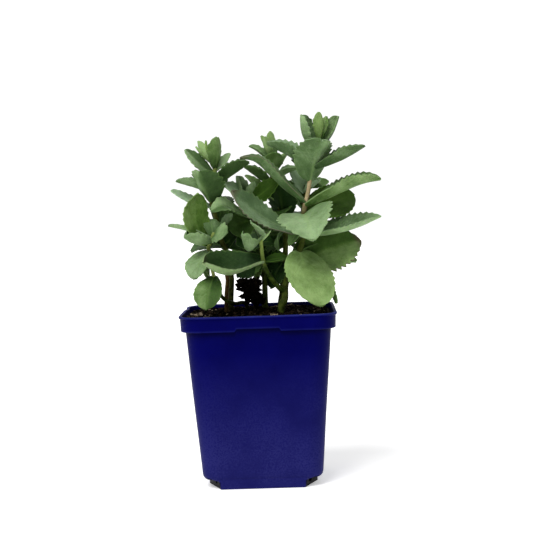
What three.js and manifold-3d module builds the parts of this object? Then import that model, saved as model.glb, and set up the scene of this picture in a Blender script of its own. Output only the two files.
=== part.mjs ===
// A stonecrop with toothed, fleshy leaves growing in a square nursery pot.
// Millimetres, +Z up. The pot stands on Z = 0 with its middle on the Z axis, its front faces -Y.
import * as THREE from 'three';
import { mergeVertices } from 'three/addons/utils/BufferGeometryUtils.js';
import Module from 'manifold-3d';

const wasm = await Module();
wasm.setup();

// Driving sizes of the pot
const POT_HEIGHT = 127;
const BASE_HALF = 43.6; // half the width of the body where it stands
const BODY_TAPER = 0.0805; // growth of that half for each millimetre of height
const CORNER_RADIUS = 12;
const CORNER_STEPS = 6; // flats in each rounded corner
const WALL = 1.2;
const FLOOR = 1.8;
const COLLAR_BOTTOM = 115.6;
const COLLAR_HALF = 56.2;
const LIP_HALF = 57.5;
const NOTCH_HALF = 15.5; // the collar's lower edge steps up in the middle of each side
const NOTCH_RISE = 2;
const CORNER_RISE = 5.2; // the four corners stop this far above the floor
const CORNER_TUCK = 3.4; // and are drawn in this far where they stop
const FOOT_FRONT = 30.5; // half the width of the foot, which reaches the front and the back
const FOOT_SIDE = 20; // half its depth at the left and the right: its corners are cut off aslant
const FOOT_LEAN = 2; // its edges slope in by this towards the floor
const FOOT_RISE = 3; // the foot reaches this far up into the body
const FOOT_INSET = 0.05; // keeps its faces off the faces of the wall
const FLOOR_ROUND = 2.2; // the inside is drawn in by this at the floor
const LIP_ROUND = 0.5;
const COLLAR_STEP = 3.2; // the inside widens this far above the collar's lower edge
const COLLAR_SPREAD = 0.4; // the collar leans out by this towards the lip
const NOTCH_SLANT = 1; // slope of the notch's two ends
const DRAIN = [8, 8, 5]; // notch in each raised corner: along X, along Y, height of the cut
const DRAIN_PLACE = 37.5; // its middle along X and Y

// Driving sizes of the soil
const GAP = 0.4; // clearance that keeps two pieces apart
const SOIL_EDGE = 122.2; // height of the soil at the wall
const SOIL_CROWN = 4; // how much higher it is in the middle
const SOIL_RINGS = [1, 0.86, 0.7, 0.54, 0.38, 0.22, 0.07]; // rings of points on its top, as shares
const CHIP_COUNT = 16; // bark chips lying in it
const CHIP_LENGTH = [3, 7];
const CHIP_SECTION = [2.2, 2];
const CHIP_SUNK = 0.3; // how far a chip's middle lies below the soil
const CHIP_CLEAR = 8; // distance that chips keep from every stem
const CHIP_EDGE = 9; // and from the collar

// Driving sizes of stems and leaves
const STEM_SIDES = 6;
const ROOT_END = 100; // the buried end of every stem stops here
const BLADE_MARGIN = 0.8; // thickness of a leaf at its margin
const BLADE_MIDDLE = 1.5; // and along its midrib
const FOOT_SHARE = 0.2; // width of a leaf's foot as a share of its full width
const WIDEST = 0.574; // share of its length where a leaf is widest, unless its row says otherwise
const POINTED = 0.72; // a lower power gives a rounder leaf
const BLUNTER = 0.22; // what a blunt leaf takes off it
const TIP_HALF = 0.5; // half the width left at the very tip
const TOOTH_DEPTH = 0.07; // of a marginal tooth, as a share of the half width
const TOOTH_START = 0.3; // the margin is smooth from the foot to here
const ROW_LENGTH = 5.1; // aimed spacing of the rows of points along a leaf

const PLASTIC = { color: 0x0d0c6b, roughness: 0.42, metalness: 0 };
const PEAT = { color: 0x2b1f16, roughness: 1, metalness: 0 };
const FRESH = { color: 0x66885c, roughness: 0.6, metalness: 0 };
const SHADED = { color: 0x456340, roughness: 0.6, metalness: 0 };
const WITHERED = { color: 0x1a140e, roughness: 0.95, metalness: 0 };

// Each stem: its route from the buried end to its top, its radius at both ends, and its leaves.
// A leaf: height of its foot on the stem, place of its tip, width, arch, roll about its own
// length, fold of its two halves (mm, degrees). Where it differs from the rest: a power above 1
// that moves the arch towards the tip, a sweep to its left, where it is widest, how blunt it is.
const TALL_STEM = {
  route: [
    [17, -22, ROOT_END], [17, -22, 128], [20, -21, 136], [21, -19, 147], [27, -18, 160],
    [32, -17, 171], [35, -17, 181], [36, -17, 198], [40, -17, 215], [41, -17, 221], [45, -17, 237],
    [48, -17, 247], [49, -17, 251],
  ],
  radius: [3.1, 1.1],
  leaves: [
    [157, [59, 2, 130], 18, 8, 20, 10],
    [161, [78, -3, 177], 41, 1, 52, 16, { widest: 0.5, blunt: 0.3 }],
    [171, [46, -46, 132], 37, 5, 0, 8, { sweep: -4, blunt: 1 }],
    [171, [40, 10, 171], 24, 3, 0, 15],
    [182, [-16, -27, 216], 24, -5, -45, 12, { widest: 0.66 }],
    [182, [92, -24, 195], 26, -4, 20, 38],
    [186, [24, -21, 175], 9, 2, -40, 30],
    [198, [42, -55, 180], 42, 4, 17, 25, { widest: 0.5, blunt: 0.8 }],
    [198, [75, 5, 210], 27, 3, 60, 10, { blunt: 0.5 }],
    [206, [-10, -14, 241], 20, 5, -5, 42, { power: 2.8 }],
    [204, [93, -20, 222], 27, 2, 5, 42, { power: 2.2, widest: 0.62, blunt: 0.7 }],
    [222, [50, -40, 251], 30, 6, 0, 24, { sweep: 1.5, widest: 0.5, blunt: 0.8 }],
    [222, [37, 10, 245], 24, 3, 0, 20],
    [232, [11, -14, 251], 26, 0, -8, 42],
    [231, [82, -20, 247], 23, -2, 5, 42],
    [243, [37, -20, 270], 24, -4, -32, 40, { blunt: 0.9 }],
    [244, [63, -15, 269], 17, -3, 32, 42, { blunt: 0.7 }],
    [247, [49, -19, 272], 9, -1, 0, 20, { widest: 0.7 }],
    [249, [55, -16, 269], 6, -1, 70, 25, { widest: 0.7 }],
  ],
};

// Slender shoot that branches from the foot of the tall stem
const SIDE_SHOOT = {
  route: [
    [21, -20, 141], [17, -22, 143], [9, -26, 154], [5, -28, 165], [4, -28, 178], [3, -28, 183],
  ],
  radius: [1.9, 1.2],
  leaves: [
    [164, [-38, -36, 165], 35, -9, -27, 45, { power: 1.3, widest: 0.62, blunt: 0.9 }],
    [164, [24, -22, 166], 10, 1, 30, 20],
    [181, [-9, -33, 184], 28, -10, -10, 50, { widest: 0.5, blunt: 0.9 }],
    [181, [-2, -40, 193], 17, 1, -40, 14, { widest: 0.6, blunt: 0.6 }],
    [179, [11, -22, 187], 8, 0, 0, 20],
  ],
};

const MIDDLE_STEM = {
  route: [
    [18, 19, ROOT_END], [18, 19, 133], [20, 18, 154], [22, 17, 178], [19, 17, 200], [14, 17, 216],
    [13, 16, 232], [13, 16, 248], [13, 16, 253],
  ],
  radius: [2.8, 1.3],
  leaves: [
    [238, [-3, 14, 251], 9, 1, -30, 35, { power: 1.5, blunt: 0.8 }],
    [232, [25, 18, 244], 7, 0, -60, 20],
    [236, [11, 27, 251], 12, 1, 0, 20],
    [229, [16, 7, 245], 17, 0, 0, 15],
    [219, [-7, 14, 235], 20, 0, -5, 42],
    [221, [33, 13, 233], 18, 2, 10, 30],
    [247, [13, 14, 261], 7, -1, 0, 20],
    [247, [6, 15, 258], 5, 0, 60, 25],
    [199, [16, -5, 196], 20, 3, 0, 20],
    [187, [44, 13, 184], 20, 3, 20, 14],
    [186, [16, -2, 171], 7, 3, 60, 20],
    [187, [4, 19, 188], 16, 3, -20, 14],
    [166, [10, 5, 162], 11, 2, -40, 20],
    [241, [9, 11, 257], 8, -1, 0, 20],
    [208, [-7, 24, 229], 12, -1, -20, 30],
    [190, [18, 6, 221], 24, 3, 0, 25],
    [163, [9, 12, 142], 22, 2, -30, 15],
    [150, [11, 10, 147], 14, 2, -40, 15],
  ],
};

const LEFT_STEM = {
  route: [
    [-21, 6, ROOT_END], [-21, 6, 132], [-20, 6, 152], [-23, 5, 171], [-26, 4, 178], [-28, 4, 189],
    [-31, 3, 201], [-33, 2, 210], [-31, 2, 222], [-29.5, 2, 233], [-32, 2, 239], [-35, 2, 245],
  ],
  radius: [2.4, 1.3],
  leaves: [
    [234, [-27, -1, 257], 15, -1, 0, 30, { blunt: 0.5 }],
    [228, [-51, 0, 249], 12, -1, -50, 15, { blunt: 0.4 }],
    [232, [-18, 4, 245], 9, -1, 40, 25],
    [220, [-4, 1, 238], 24, 0, 5, 48, { blunt: 0.4 }],
    [209, [-40, -16, 232], 32, -2, -10, 35, { blunt: 0.7 }],
    [217, [-59, 3, 226], 17, 0, 0, 42, { power: 1.5 }],
    [205, [-63, 6, 219], 10, -2, -30, 20, { blunt: 0.8 }],
    [211, [-30, 28, 226], 22, 3, 0, 20],
    [240, [-41, 2, 255], 8, -1, 60, 20],
    [243, [-35, 2, 255], 6, -1, 0, 20],
    [189, [-17, -5, 200], 6, 1, -50, 20],
    [190, [-23, 34, 213], 18, 4, 0, 15],
    [175, [-51, 14, 172], 22, 4, -30, 15],
    [173, [-27, 32, 189], 26, 4, 0, 15],
    [163, [1, 24, 164], 22, 3, 75, 12],
    [238, [-43, 4, 251], 6, -1, 20, 20],
    [176, [-16, 20, 182], 26, 2, 60, 15],
  ],
};

const LOW_LEFT_STEM = {
  route: [
    [-24, -3, ROOT_END], [-24, -3, 135], [-23, -4, 153], [-30, -7, 167], [-36, -9, 174],
    [-34, -10, 179], [-31, -11, 186],
  ],
  radius: [1.8, 1.2],
  leaves: [
    [182, [-65, -8, 193], 11, 1, 0, 25],
    [179, [-52, -18, 184], 27, -3, -17, 52, { blunt: 0.6 }],
    [184, [-21, -26, 186], 16, 1, 55, 8, { blunt: 1 }],
    [183, [-34, -1, 196], 12, 2, 0, 15, { blunt: 0.8 }],
    [176, [-42, -3, 215], 25, 0, 0, 8, { sweep: 8, widest: 0.55, blunt: 0.8 }],
    [173, [-46, -24, 153], 22, 3, 0, 12, { blunt: 1 }],
    [171, [-37, -7, 151], 13, 2, 0, 12],
  ],
};

const FRONT_LEFT_SHOOT = {
  route: [
    [-9, 8, ROOT_END], [-9, 8, 129], [-18, -3, 132], [-25, -11, 136], [-29, -15, 143],
    [-32, -18, 154], [-33, -19, 160],
  ],
  radius: [1.7, 1.2],
  leaves: [
    [154, [-37, -39, 131], 22, 3, 0, 16, { widest: 0.64, blunt: 1 }],
    [159, [-27, -17, 166], 6, 1, 0, 15],
    [160, [-26, -23, 165], 5, 0, 0, 15],
  ],
};

const BACK_RIGHT_STEM = {
  route: [
    [17, 30, ROOT_END], [17, 30, 131], [25, 29, 154], [33, 28, 177], [37, 27, 208], [39, 27, 219],
  ],
  radius: [2.6, 1.3],
  leaves: [
    [214, [28, 20, 231], 17, 1, -70, 15, { blunt: 0.8 }],
    [218, [57, 30, 222], 9, 1, 60, 15],
    [214, [50, 18, 224], 13, 0, 0, 15, { blunt: 0.8 }],
    [212, [37, 50, 225], 18, 3, 0, 20],
    [205, [15, 31, 223], 16, 2, -60, 15],
    [202, [22, 27, 219], 18, 2, -50, 30],
    [205, [72, 33, 212], 20, 2, 40, 15],
    [190, [31, 69, 197], 26, 5, 0, 15],
    [165, [76, 22, 160], 22, 2, 30, 12],
    [180, [-9, 31, 182], 28, 4, -72, 12],
    [160, [-11, 30, 160], 24, 3, -72, 12],
  ],
};

const CENTRE_STEM = {
  route: [
    [5, 8, ROOT_END], [5, 8, 131], [5, 8, 150], [3, 9, 172], [0, 9, 190], [-5, 9, 203], [-7, 9, 211],
  ],
  radius: [2.6, 1.3],
  leaves: [
    [199, [-13, 14, 228], 21, -4, -7, 56, { widest: 0.5, blunt: 0.9 }],
    [202, [-23, -1, 222], 23, 2, -38, 15],
    [206, [18, -4, 223], 16, 0, 70, 10, { blunt: 0.3 }],
    [210, [0, 8, 223], 7, 0, -80, 10],
    [197, [-33, -12, 202], 19, 6, -35, 20, { power: 2.4, widest: 0.68, blunt: 0.9 }],
    [198, [-5, 27, 217], 20, 3, 0, 12],
    [194, [-21, 5, 188], 28, 3, -60, 10],
    [176, [-15, 0, 176], 22, 3, -45, 15],
    [176, [13, 10, 176], 12, 2, 45, 15],
    [171, [2, 15, 173], 18, 3, 0, 15],
    [163, [-6, 3, 151], 12, 2, -20, 10],
    [160, [-2, 4, 142], 9, 1, 10, 15],
    [162, [-16, 2, 152], 14, 2, -60, 12],
  ],
};

// Dead shoot, hanging with shrivelled leaves
const DEAD_SHOOT = {
  route: [
    [-1, -4, ROOT_END], [-1, -4, 129], [-3, -3, 137], [-6, -3, 145], [-6, -3.5, 150],
  ],
  radius: [1.7, 1.1],
  leaves: [
    [149, [-14, -6, 142], 9, 3, 0, 25],
    [149, [-1, -9, 143], 10, 3, 0, 25],
    [148, [-10, -9, 136], 9, 2, 20, 25],
    [147, [-5, -8, 135], 10, 2, -20, 30],
    [146, [-12, -3, 144], 8, 2, 0, 30],
    [144, [-1, -1, 136], 9, 2, 0, 30],
    [141, [-8, -10, 132], 8, 2, 30, 30],
    [138, [-2, -8, 130], 9, 2, 0, 30],
    [136, [3, -2, 131], 8, 2, 0, 30],
  ],
};

const radians = THREE.MathUtils.degToRad;
const lerp = THREE.MathUtils.lerp;

// Solids

function solidOf(geometry) {
  const bare = geometry.clone();
  bare.deleteAttribute('normal');
  bare.deleteAttribute('uv');
  const welded = mergeVertices(bare, 1e-4);
  return new wasm.Manifold(new wasm.Mesh({
    numProp: 3,
    vertProperties: Float32Array.from(welded.attributes.position.array),
    triVerts: Uint32Array.from(welded.index.array),
  }));
}

function geometryOf(solid) {
  const mesh = solid.getMesh();
  const geometry = new THREE.BufferGeometry();
  geometry.setAttribute('position', new THREE.BufferAttribute(mesh.vertProperties, 3));
  geometry.setIndex(new THREE.BufferAttribute(mesh.triVerts, 1));
  return geometry;
}

// Skin through rings of equally many points, closed flat at both ends.
// Points that face each other across a ring get the same diagonals.
function skin(rings) {
  const count = rings[0].length;
  const faces = [];
  const quad = (a, b, c, d, flip) => {
    if (flip) faces.push(a, b, d, b, c, d);
    else faces.push(a, b, c, a, c, d);
  };
  for (let row = 0; row + 1 < rings.length; row += 1) {
    for (let k = 0; k < count; k += 1) {
      const next = (k + 1) % count;
      const low = row * count;
      const high = low + count;
      quad(low + k, low + next, high + next, high + k, k >= count / 2);
    }
  }
  const last = (rings.length - 1) * count;
  for (let k = 0; k + 1 < count / 2; k += 1) {
    const near = count - 1 - k;
    quad(near, near - 1, k + 1, k, true);
    quad(last + k, last + k + 1, last + near - 1, last + near, false);
  }
  const geometry = new THREE.BufferGeometry();
  const points = rings.flat().flatMap((point) => point.toArray());
  geometry.setAttribute('position', new THREE.Float32BufferAttribute(points, 3));
  geometry.setIndex(faces);
  return solidOf(geometry);
}

function roundedSquare(half, radius, z) {
  const ring = [];
  for (let corner = 0; corner < 4; corner += 1) {
    for (let step = 0; step <= CORNER_STEPS; step += 1) {
      const angle = (corner + step / CORNER_STEPS) * Math.PI / 2;
      const sideX = corner === 0 || corner === 3 ? 1 : -1;
      const sideY = corner < 2 ? 1 : -1;
      ring.push(new THREE.Vector3(
        sideX * (half - radius) + radius * Math.cos(angle),
        sideY * (half - radius) + radius * Math.sin(angle),
        z,
      ));
    }
  }
  return ring;
}

function box(width, depth, height, x, y, z, turn = 0) {
  const geometry = new THREE.BoxGeometry(width, depth, height);
  geometry.rotateZ(turn);
  geometry.translate(x, y, z);
  return solidOf(geometry);
}

function onEachCorner(make) {
  return [[1, 1], [-1, 1], [-1, -1], [1, -1]].map(([x, y]) => make(x, y));
}

// Pot

const INNER_STEP = COLLAR_BOTTOM + COLLAR_STEP;
const bodyHalf = (z) => BASE_HALF + BODY_TAPER * z;

// The foot, an oblong with its corners cut off aslant, or the room inside it when inset
function foot(inset, bottom) {
  const ring = (z, lean) => {
    const front = FOOT_FRONT + FOOT_LEAN - lean - inset;
    const deep = BASE_HALF - FOOT_INSET - inset;
    const side = deep - CORNER_TUCK;
    const cut = FOOT_SIDE - inset;
    return [
      [-front, -deep], [front, -deep], [side, -cut], [side, cut],
      [front, deep], [-front, deep], [-side, cut], [-side, -cut],
    ].map(([x, y]) => new THREE.Vector3(x, y, z));
  };
  return skin([ring(bottom, FOOT_LEAN), ring(CORNER_RISE + FOOT_RISE, 0)]);
}

function potShell() {
  const tuck = bodyHalf(CORNER_RISE);
  const outer = [
    [CORNER_RISE, tuck - CORNER_TUCK], [CORNER_RISE + 1.2, tuck - 1.5],
    [CORNER_RISE + 4.4, bodyHalf(CORNER_RISE + 4.4)], [COLLAR_BOTTOM, bodyHalf(COLLAR_BOTTOM)],
    [COLLAR_BOTTOM + 0.4, COLLAR_HALF], [POT_HEIGHT - 1.8, COLLAR_HALF + COLLAR_SPREAD],
    [POT_HEIGHT - 1.3, LIP_HALF], [POT_HEIGHT - 0.4, LIP_HALF], [POT_HEIGHT, LIP_HALF - LIP_ROUND],
  ];
  const floor = CORNER_RISE + FLOOR;
  const mouth = COLLAR_HALF + COLLAR_SPREAD - WALL;
  const inner = [
    [floor, bodyHalf(floor) - WALL - FLOOR_ROUND],
    [floor + FOOT_RISE, bodyHalf(floor + FOOT_RISE) - WALL],
    [INNER_STEP, bodyHalf(INNER_STEP) - WALL], [INNER_STEP + 1, COLLAR_HALF - WALL],
    [POT_HEIGHT - LIP_ROUND, mouth], [POT_HEIGHT + 1, mouth + LIP_ROUND],
  ];
  const ringOf = (inset) => ([z, half]) => roundedSquare(half, CORNER_RADIUS - inset, z);
  const hollow = skin(inner.map(ringOf(WALL))).add(foot(FLOOR, FLOOR));
  return skin(outer.map(ringOf(0))).add(foot(0, 0)).subtract(hollow);
}

function cutDrains(pot) {
  const notches = onEachCorner((x, y) => box(...DRAIN, x * DRAIN_PLACE, y * DRAIN_PLACE, CORNER_RISE));
  let cut = pot;
  for (const notch of notches) cut = cut.subtract(notch);
  return cut;
}

// Steps the lower edge of the collar up in the middle of each side
function notchCollar(pot) {
  const top = COLLAR_BOTTOM + NOTCH_RISE;
  const face = bodyHalf(top) + 3 * FOOT_INSET;
  const outside = LIP_HALF + 2;
  const ring = (half, z) => [
    [-half, -outside], [half, -outside], [half, -face], [-half, -face],
  ].map(([x, y]) => new THREE.Vector3(x, y, z));
  const below = ring(NOTCH_HALF + NOTCH_SLANT, COLLAR_BOTTOM - 0.6);
  const block = skin([below, ring(NOTCH_HALF - NOTCH_SLANT, top)]);
  let cut = pot;
  for (const turn of [0, 90, 180, 270]) cut = cut.subtract(block.rotate([0, 0, turn]));
  return cut;
}

// Soil

function soilHeight(x, y) {
  const outwards = Math.max(Math.abs(x), Math.abs(y)) / COLLAR_HALF;
  const lumps = 0.7 * Math.sin(0.31 * x + 1.3) * Math.cos(0.27 * y) + 0.5 * Math.sin(0.8 * x + 0.55 * y);
  return SOIL_EDGE + SOIL_CROWN * (1 - outwards * outwards) + lumps * (1 - outwards ** 4);
}

function soilBlock() {
  const inset = WALL + GAP;
  const radius = CORNER_RADIUS - inset;
  const upper = COLLAR_HALF - inset;
  const floor = CORNER_RISE + FLOOR + GAP;
  const rings = [
    roundedSquare(bodyHalf(floor) - inset - FLOOR_ROUND, radius, floor),
    roundedSquare(bodyHalf(floor + FOOT_RISE) - inset, radius, floor + FOOT_RISE),
    roundedSquare(bodyHalf(INNER_STEP) - inset, radius, INNER_STEP + 0.6),
    roundedSquare(upper, radius, INNER_STEP + 1.6),
  ];
  for (const share of SOIL_RINGS) {
    const ring = roundedSquare(upper * share, radius * share, 0);
    ring.forEach((point) => { point.z = soilHeight(point.x, point.y); });
    rings.push(ring);
  }
  return skin(rings).add(foot(FLOOR + GAP, FLOOR + GAP));
}

// Steady stream of numbers from 0 to 1
function randomStream(seed) {
  let state = seed;
  return () => {
    state = (state * 1664525 + 1013904223) % 4294967296;
    return state / 4294967296;
  };
}

function addChips(soil, stems) {
  const random = randomStream(7);
  const reach = COLLAR_HALF - CHIP_EDGE;
  const [wide, thick] = CHIP_SECTION;
  const offStems = (x, y) => stems.every(({ route: [[stemX, stemY]] }) => (
    Math.hypot(x - stemX, y - stemY) > CHIP_CLEAR));
  let chipped = soil;
  let placed = 0;
  while (placed < CHIP_COUNT) {
    const x = (2 * random() - 1) * reach;
    const y = (2 * random() - 1) * reach;
    const long = lerp(...CHIP_LENGTH, random());
    const turn = Math.PI * random();
    if (offStems(x, y)) {
      chipped = chipped.add(box(long, wide, thick, x, y, soilHeight(x, y) - CHIP_SUNK, turn));
      placed += 1;
    }
  }
  return chipped;
}

function boreHoles(soil, stems) {
  let bored = soil;
  for (const { route: [[x, y]], radius: [foot] } of stems) {
    const wide = foot + GAP / Math.cos(Math.PI / STEM_SIDES);
    const path = [[x, y, ROOT_END - GAP], [x, y, POT_HEIGHT + 8]];
    bored = bored.subtract(stemTube(path, [wide, wide]));
  }
  return bored;
}

// Stems and leaves

function stemTube(route, [foot, top]) {
  const points = route.map((point) => new THREE.Vector3(...point));
  const rings = points.map((point, index) => {
    const before = points[Math.max(index - 1, 0)];
    const after = points[Math.min(index + 1, points.length - 1)];
    const along = after.clone().sub(before).normalize();
    const side = new THREE.Vector3(1, 0, 0).projectOnPlane(along).normalize();
    const other = along.clone().cross(side);
    const radius = lerp(foot, top, index / (points.length - 1));
    return Array.from({ length: STEM_SIDES }, (_, k) => {
      const angle = 2 * Math.PI * k / STEM_SIDES;
      return point.clone()
        .addScaledVector(side, radius * Math.cos(angle))
        .addScaledVector(other, radius * Math.sin(angle));
    });
  });
  return skin(rings);
}

function pointAtHeight(route, height) {
  const upper = route.findIndex((point, index) => index > 0 && point[2] >= height);
  const end = upper < 0 ? route.length - 1 : upper;
  const low = new THREE.Vector3(...route[end - 1]);
  const high = new THREE.Vector3(...route[end]);
  const share = Math.min((height - low.z) / (high.z - low.z), 1);
  return low.lerp(high, share);
}

// Half the width of a leaf at a share of its length, for a full half width of 1
function outline(share, widest, blunt) {
  const swing = share ** (Math.log(0.5) / Math.log(widest));
  const blade = Math.max(Math.sin(Math.PI * swing), 0);
  return blade ** (POINTED - BLUNTER * blunt) + FOOT_SHARE * (1 - share) ** 3;
}

function leaf(route, [foot, tipPlace, wide, arch, roll, fold, shape = {}]) {
  const { power = 1, sweep = 0, widest = WIDEST, blunt = 0 } = shape;
  const base = pointAtHeight(route, foot);
  const along = new THREE.Vector3(...tipPlace).sub(base);
  const long = along.length();
  along.normalize();
  const left = new THREE.Vector3(-along.y, along.x, 0).normalize().applyAxisAngle(along, radians(roll));
  const up = along.clone().cross(left);
  const rows = THREE.MathUtils.clamp(Math.round(long / ROW_LENGTH), 4, 12);
  const spread = Math.cos(radians(fold));
  const lift = Math.sin(radians(fold));
  const rings = [];
  for (let row = 0; row <= rows; row += 1) {
    const share = row / rows;
    const bend = arch * Math.sin(Math.PI * share ** power);
    const slope = arch * Math.PI * power * share ** (power - 1) * Math.cos(Math.PI * share ** power);
    const tangent = along.clone().multiplyScalar(long).addScaledVector(up, slope).normalize();
    const normal = tangent.clone().cross(left);
    const toothed = share > TOOTH_START && row < rows ? (row % 2 ? TOOTH_DEPTH : -TOOTH_DEPTH) : 0;
    const half = Math.max(wide / 2 * outline(share, widest, blunt) * (1 + toothed), TIP_HALF);
    const centre = base.clone().addScaledVector(along, long * share).addScaledVector(up, bend)
      .addScaledVector(left, sweep * Math.sin(Math.PI * share));
    const at = (side, drop) => centre.clone()
      .addScaledVector(left, side * half * spread)
      .addScaledVector(up, Math.abs(side) * half * lift)
      .addScaledVector(normal, -drop / spread);
    rings.push([
      at(1, 0), at(0, 0), at(-1, 0), at(-1, BLADE_MARGIN), at(0, BLADE_MIDDLE), at(1, BLADE_MARGIN),
    ]);
  }
  return skin(rings);
}

function leafyStem({ route, radius, leaves }) {
  let stem = stemTube(route, radius);
  for (const row of leaves) stem = stem.add(leaf(route, row));
  return stem;
}

// The whole object

const plant = new THREE.Group();
plant.name = 'potted_stonecrop';

function addPiece(name, solid, finish) {
  const mesh = new THREE.Mesh(geometryOf(solid), new THREE.MeshStandardMaterial(finish));
  mesh.name = name;
  plant.add(mesh);
}

const stemPieces = [
  ['stem_right_tall', TALL_STEM, FRESH],
  ['stem_middle', MIDDLE_STEM, SHADED],
  ['stem_left', LEFT_STEM, FRESH],
  ['stem_left_low', LOW_LEFT_STEM, FRESH],
  ['shoot_front_left', FRONT_LEFT_SHOOT, FRESH],
  ['stem_back_right', BACK_RIGHT_STEM, SHADED],
  ['stem_centre', CENTRE_STEM, SHADED],
  ['shoot_dead', DEAD_SHOOT, WITHERED],
];
const stems = stemPieces.map(([, stem]) => stem);

addPiece('pot', notchCollar(cutDrains(potShell())), PLASTIC);
addPiece('soil', boreHoles(addChips(soilBlock(), stems), stems), PEAT);
for (const [name, stem, finish] of stemPieces) {
  const branch = stem === TALL_STEM ? leafyStem(SIDE_SHOOT) : null;
  const grown = leafyStem(stem);
  addPiece(name, branch ? grown.add(branch) : grown, finish);
}

export default plant;
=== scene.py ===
# A stonecrop with toothed, fleshy leaves growing in a square nursery pot.
# Metres, +Z up. The pot stands on Z = 0 with its middle on the Z axis, and its front faces -Y.
import bpy
import math
import random
from mathutils import Matrix, Quaternion, Vector, noise


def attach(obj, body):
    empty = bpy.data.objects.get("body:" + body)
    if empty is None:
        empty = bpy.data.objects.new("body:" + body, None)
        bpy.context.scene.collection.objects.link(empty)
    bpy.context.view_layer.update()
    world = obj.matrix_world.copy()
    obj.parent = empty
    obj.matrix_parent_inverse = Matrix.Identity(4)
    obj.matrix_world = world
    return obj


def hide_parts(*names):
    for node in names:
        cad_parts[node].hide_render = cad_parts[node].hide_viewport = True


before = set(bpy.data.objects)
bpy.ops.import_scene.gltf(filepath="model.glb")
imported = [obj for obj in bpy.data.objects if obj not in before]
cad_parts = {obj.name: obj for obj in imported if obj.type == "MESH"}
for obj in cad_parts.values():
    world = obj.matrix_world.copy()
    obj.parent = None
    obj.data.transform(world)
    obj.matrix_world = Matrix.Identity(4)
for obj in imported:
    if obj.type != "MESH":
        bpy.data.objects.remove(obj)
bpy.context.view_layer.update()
MM = 0.001

# Pot
# One thin-walled piece of injection-moulded polypropylene, deep blue all through. It tapers to the
# foot, carries a stepped collar with a rolled lip, and its corners stop short of the floor.

POT_HEIGHT = 127 * MM
BASE_HALF = 43.6 * MM  # half the width of the body where it stands
BODY_TAPER = 0.0805  # growth of that half with height
CORNER_RADIUS = 12 * MM
CORNER_FLATS = 12
WALL = 1.2 * MM
FLOOR = 1.8 * MM
COLLAR_BOTTOM = 115.6 * MM
LEDGE = COLLAR_BOTTOM + 3.2 * MM  # the inside widens here, behind the collar
COLLAR_HALF = 56.2 * MM
LIP_HALF = 57.5 * MM
NOTCH_HALF = 15.5 * MM  # the collar's lower edge steps up in the middle of each side
NOTCH_RISE = 2 * MM
CORNER_RISE = 5.2 * MM  # the four corners stop this far above the floor
CORNER_TUCK = 3.4 * MM  # and are drawn in this far where they stop
FOOT_FRONT = 30.5 * MM  # half the width of the foot, which reaches the front and the back
FOOT_SIDE = 20 * MM  # half its depth at the left and the right: its corners are cut off aslant
FOOT_LEAN = 2 * MM  # its front and back edges slope in by this towards the floor
FOOT_REACH = 3 * MM  # it reaches this far up into the body
FOOT_INSET = 0.05 * MM  # keeps its faces off the faces of the wall
DRAIN_SIZE = (8 * MM, 8 * MM, 5 * MM)  # a notch in each raised corner
DRAIN_PLACE = 37.5 * MM
BELLY = 0.7 * MM  # how far the walls bulge, from BELLY_FROM up
BELLY_FROM = 12 * MM
RIPPLE = 0.35 * MM  # how far the collar ripples, from RIPPLE_FROM up
RIPPLE_FROM = 112 * MM
LIP_FROM = 120 * MM
DENT_PLACE = (-56 * MM, 24 * MM)
DENT_WIDTH = 9 * MM
DENT_DEPTH = 0.9 * MM
DENT_DROP = 0.4 * MM
WALL_STATIONS = [z * MM for z in (14, 22, 32, 44, 58, 72, 86, 98, 108)]
WALL_COLUMNS = [x * MM for x in (6, 14.4, 16.6, 24, 32, 40)]


def body_half(z):
    return BASE_HALF + BODY_TAPER * z


def choose(*pieces):
    """In object mode: selects only these pieces and makes the last one active."""
    if bpy.context.object and bpy.context.object.mode != "OBJECT":
        bpy.ops.object.mode_set(mode="OBJECT")
    bpy.ops.object.select_all(action="DESELECT")
    for piece in pieces:
        piece.select_set(True)
        bpy.context.view_layer.objects.active = piece


def settle(piece):
    """Puts the piece's place, turn and size into its mesh."""
    choose(piece)
    bpy.ops.object.transform_apply(location=True, rotation=True, scale=True)


def pick(test):
    """In edit mode: selects the vertices whose place passes the test."""
    bpy.ops.object.mode_set(mode="OBJECT")
    mesh = bpy.context.object.data
    for part in (mesh.polygons, mesh.edges):
        for item in part:
            item.select = False
    for vertex in mesh.vertices:
        vertex.select = test(vertex.co)
    bpy.ops.object.mode_set(mode="EDIT")
    bpy.ops.mesh.select_mode(type="VERT")


def rounded_column(name, steps, radius):
    """A closed column of rounded squares, raised step by step through (height, half width)."""
    choose()
    z, half = steps[0]
    bpy.ops.mesh.primitive_plane_add(size=2 * half, location=(0, 0, z))
    piece = bpy.context.object
    piece.name = name
    bpy.ops.object.mode_set(mode="EDIT")
    bpy.ops.mesh.select_all(action="SELECT")
    bpy.ops.mesh.bevel(offset=radius, segments=CORNER_FLATS, affect="VERTICES")
    bpy.ops.mesh.select_mode(type="FACE")
    bpy.ops.mesh.select_all(action="SELECT")
    for next_z, next_half in steps[1:]:
        bpy.ops.mesh.extrude_region_move(TRANSFORM_OT_translate={"value": (0, 0, next_z - z)})
        share = next_half / half
        bpy.ops.transform.resize(value=(share, share, 1), center_override=(0, 0, next_z))
        z, half = next_z, next_half
    bpy.ops.mesh.select_all(action="SELECT")
    bpy.ops.mesh.normals_make_consistent(inside=False)
    bpy.ops.object.mode_set(mode="OBJECT")
    settle(piece)
    return piece


def block(name, size, place):
    choose()
    bpy.ops.mesh.primitive_cube_add(size=1, location=place, scale=size)
    piece = bpy.context.object
    piece.name = name
    settle(piece)
    return piece


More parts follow.
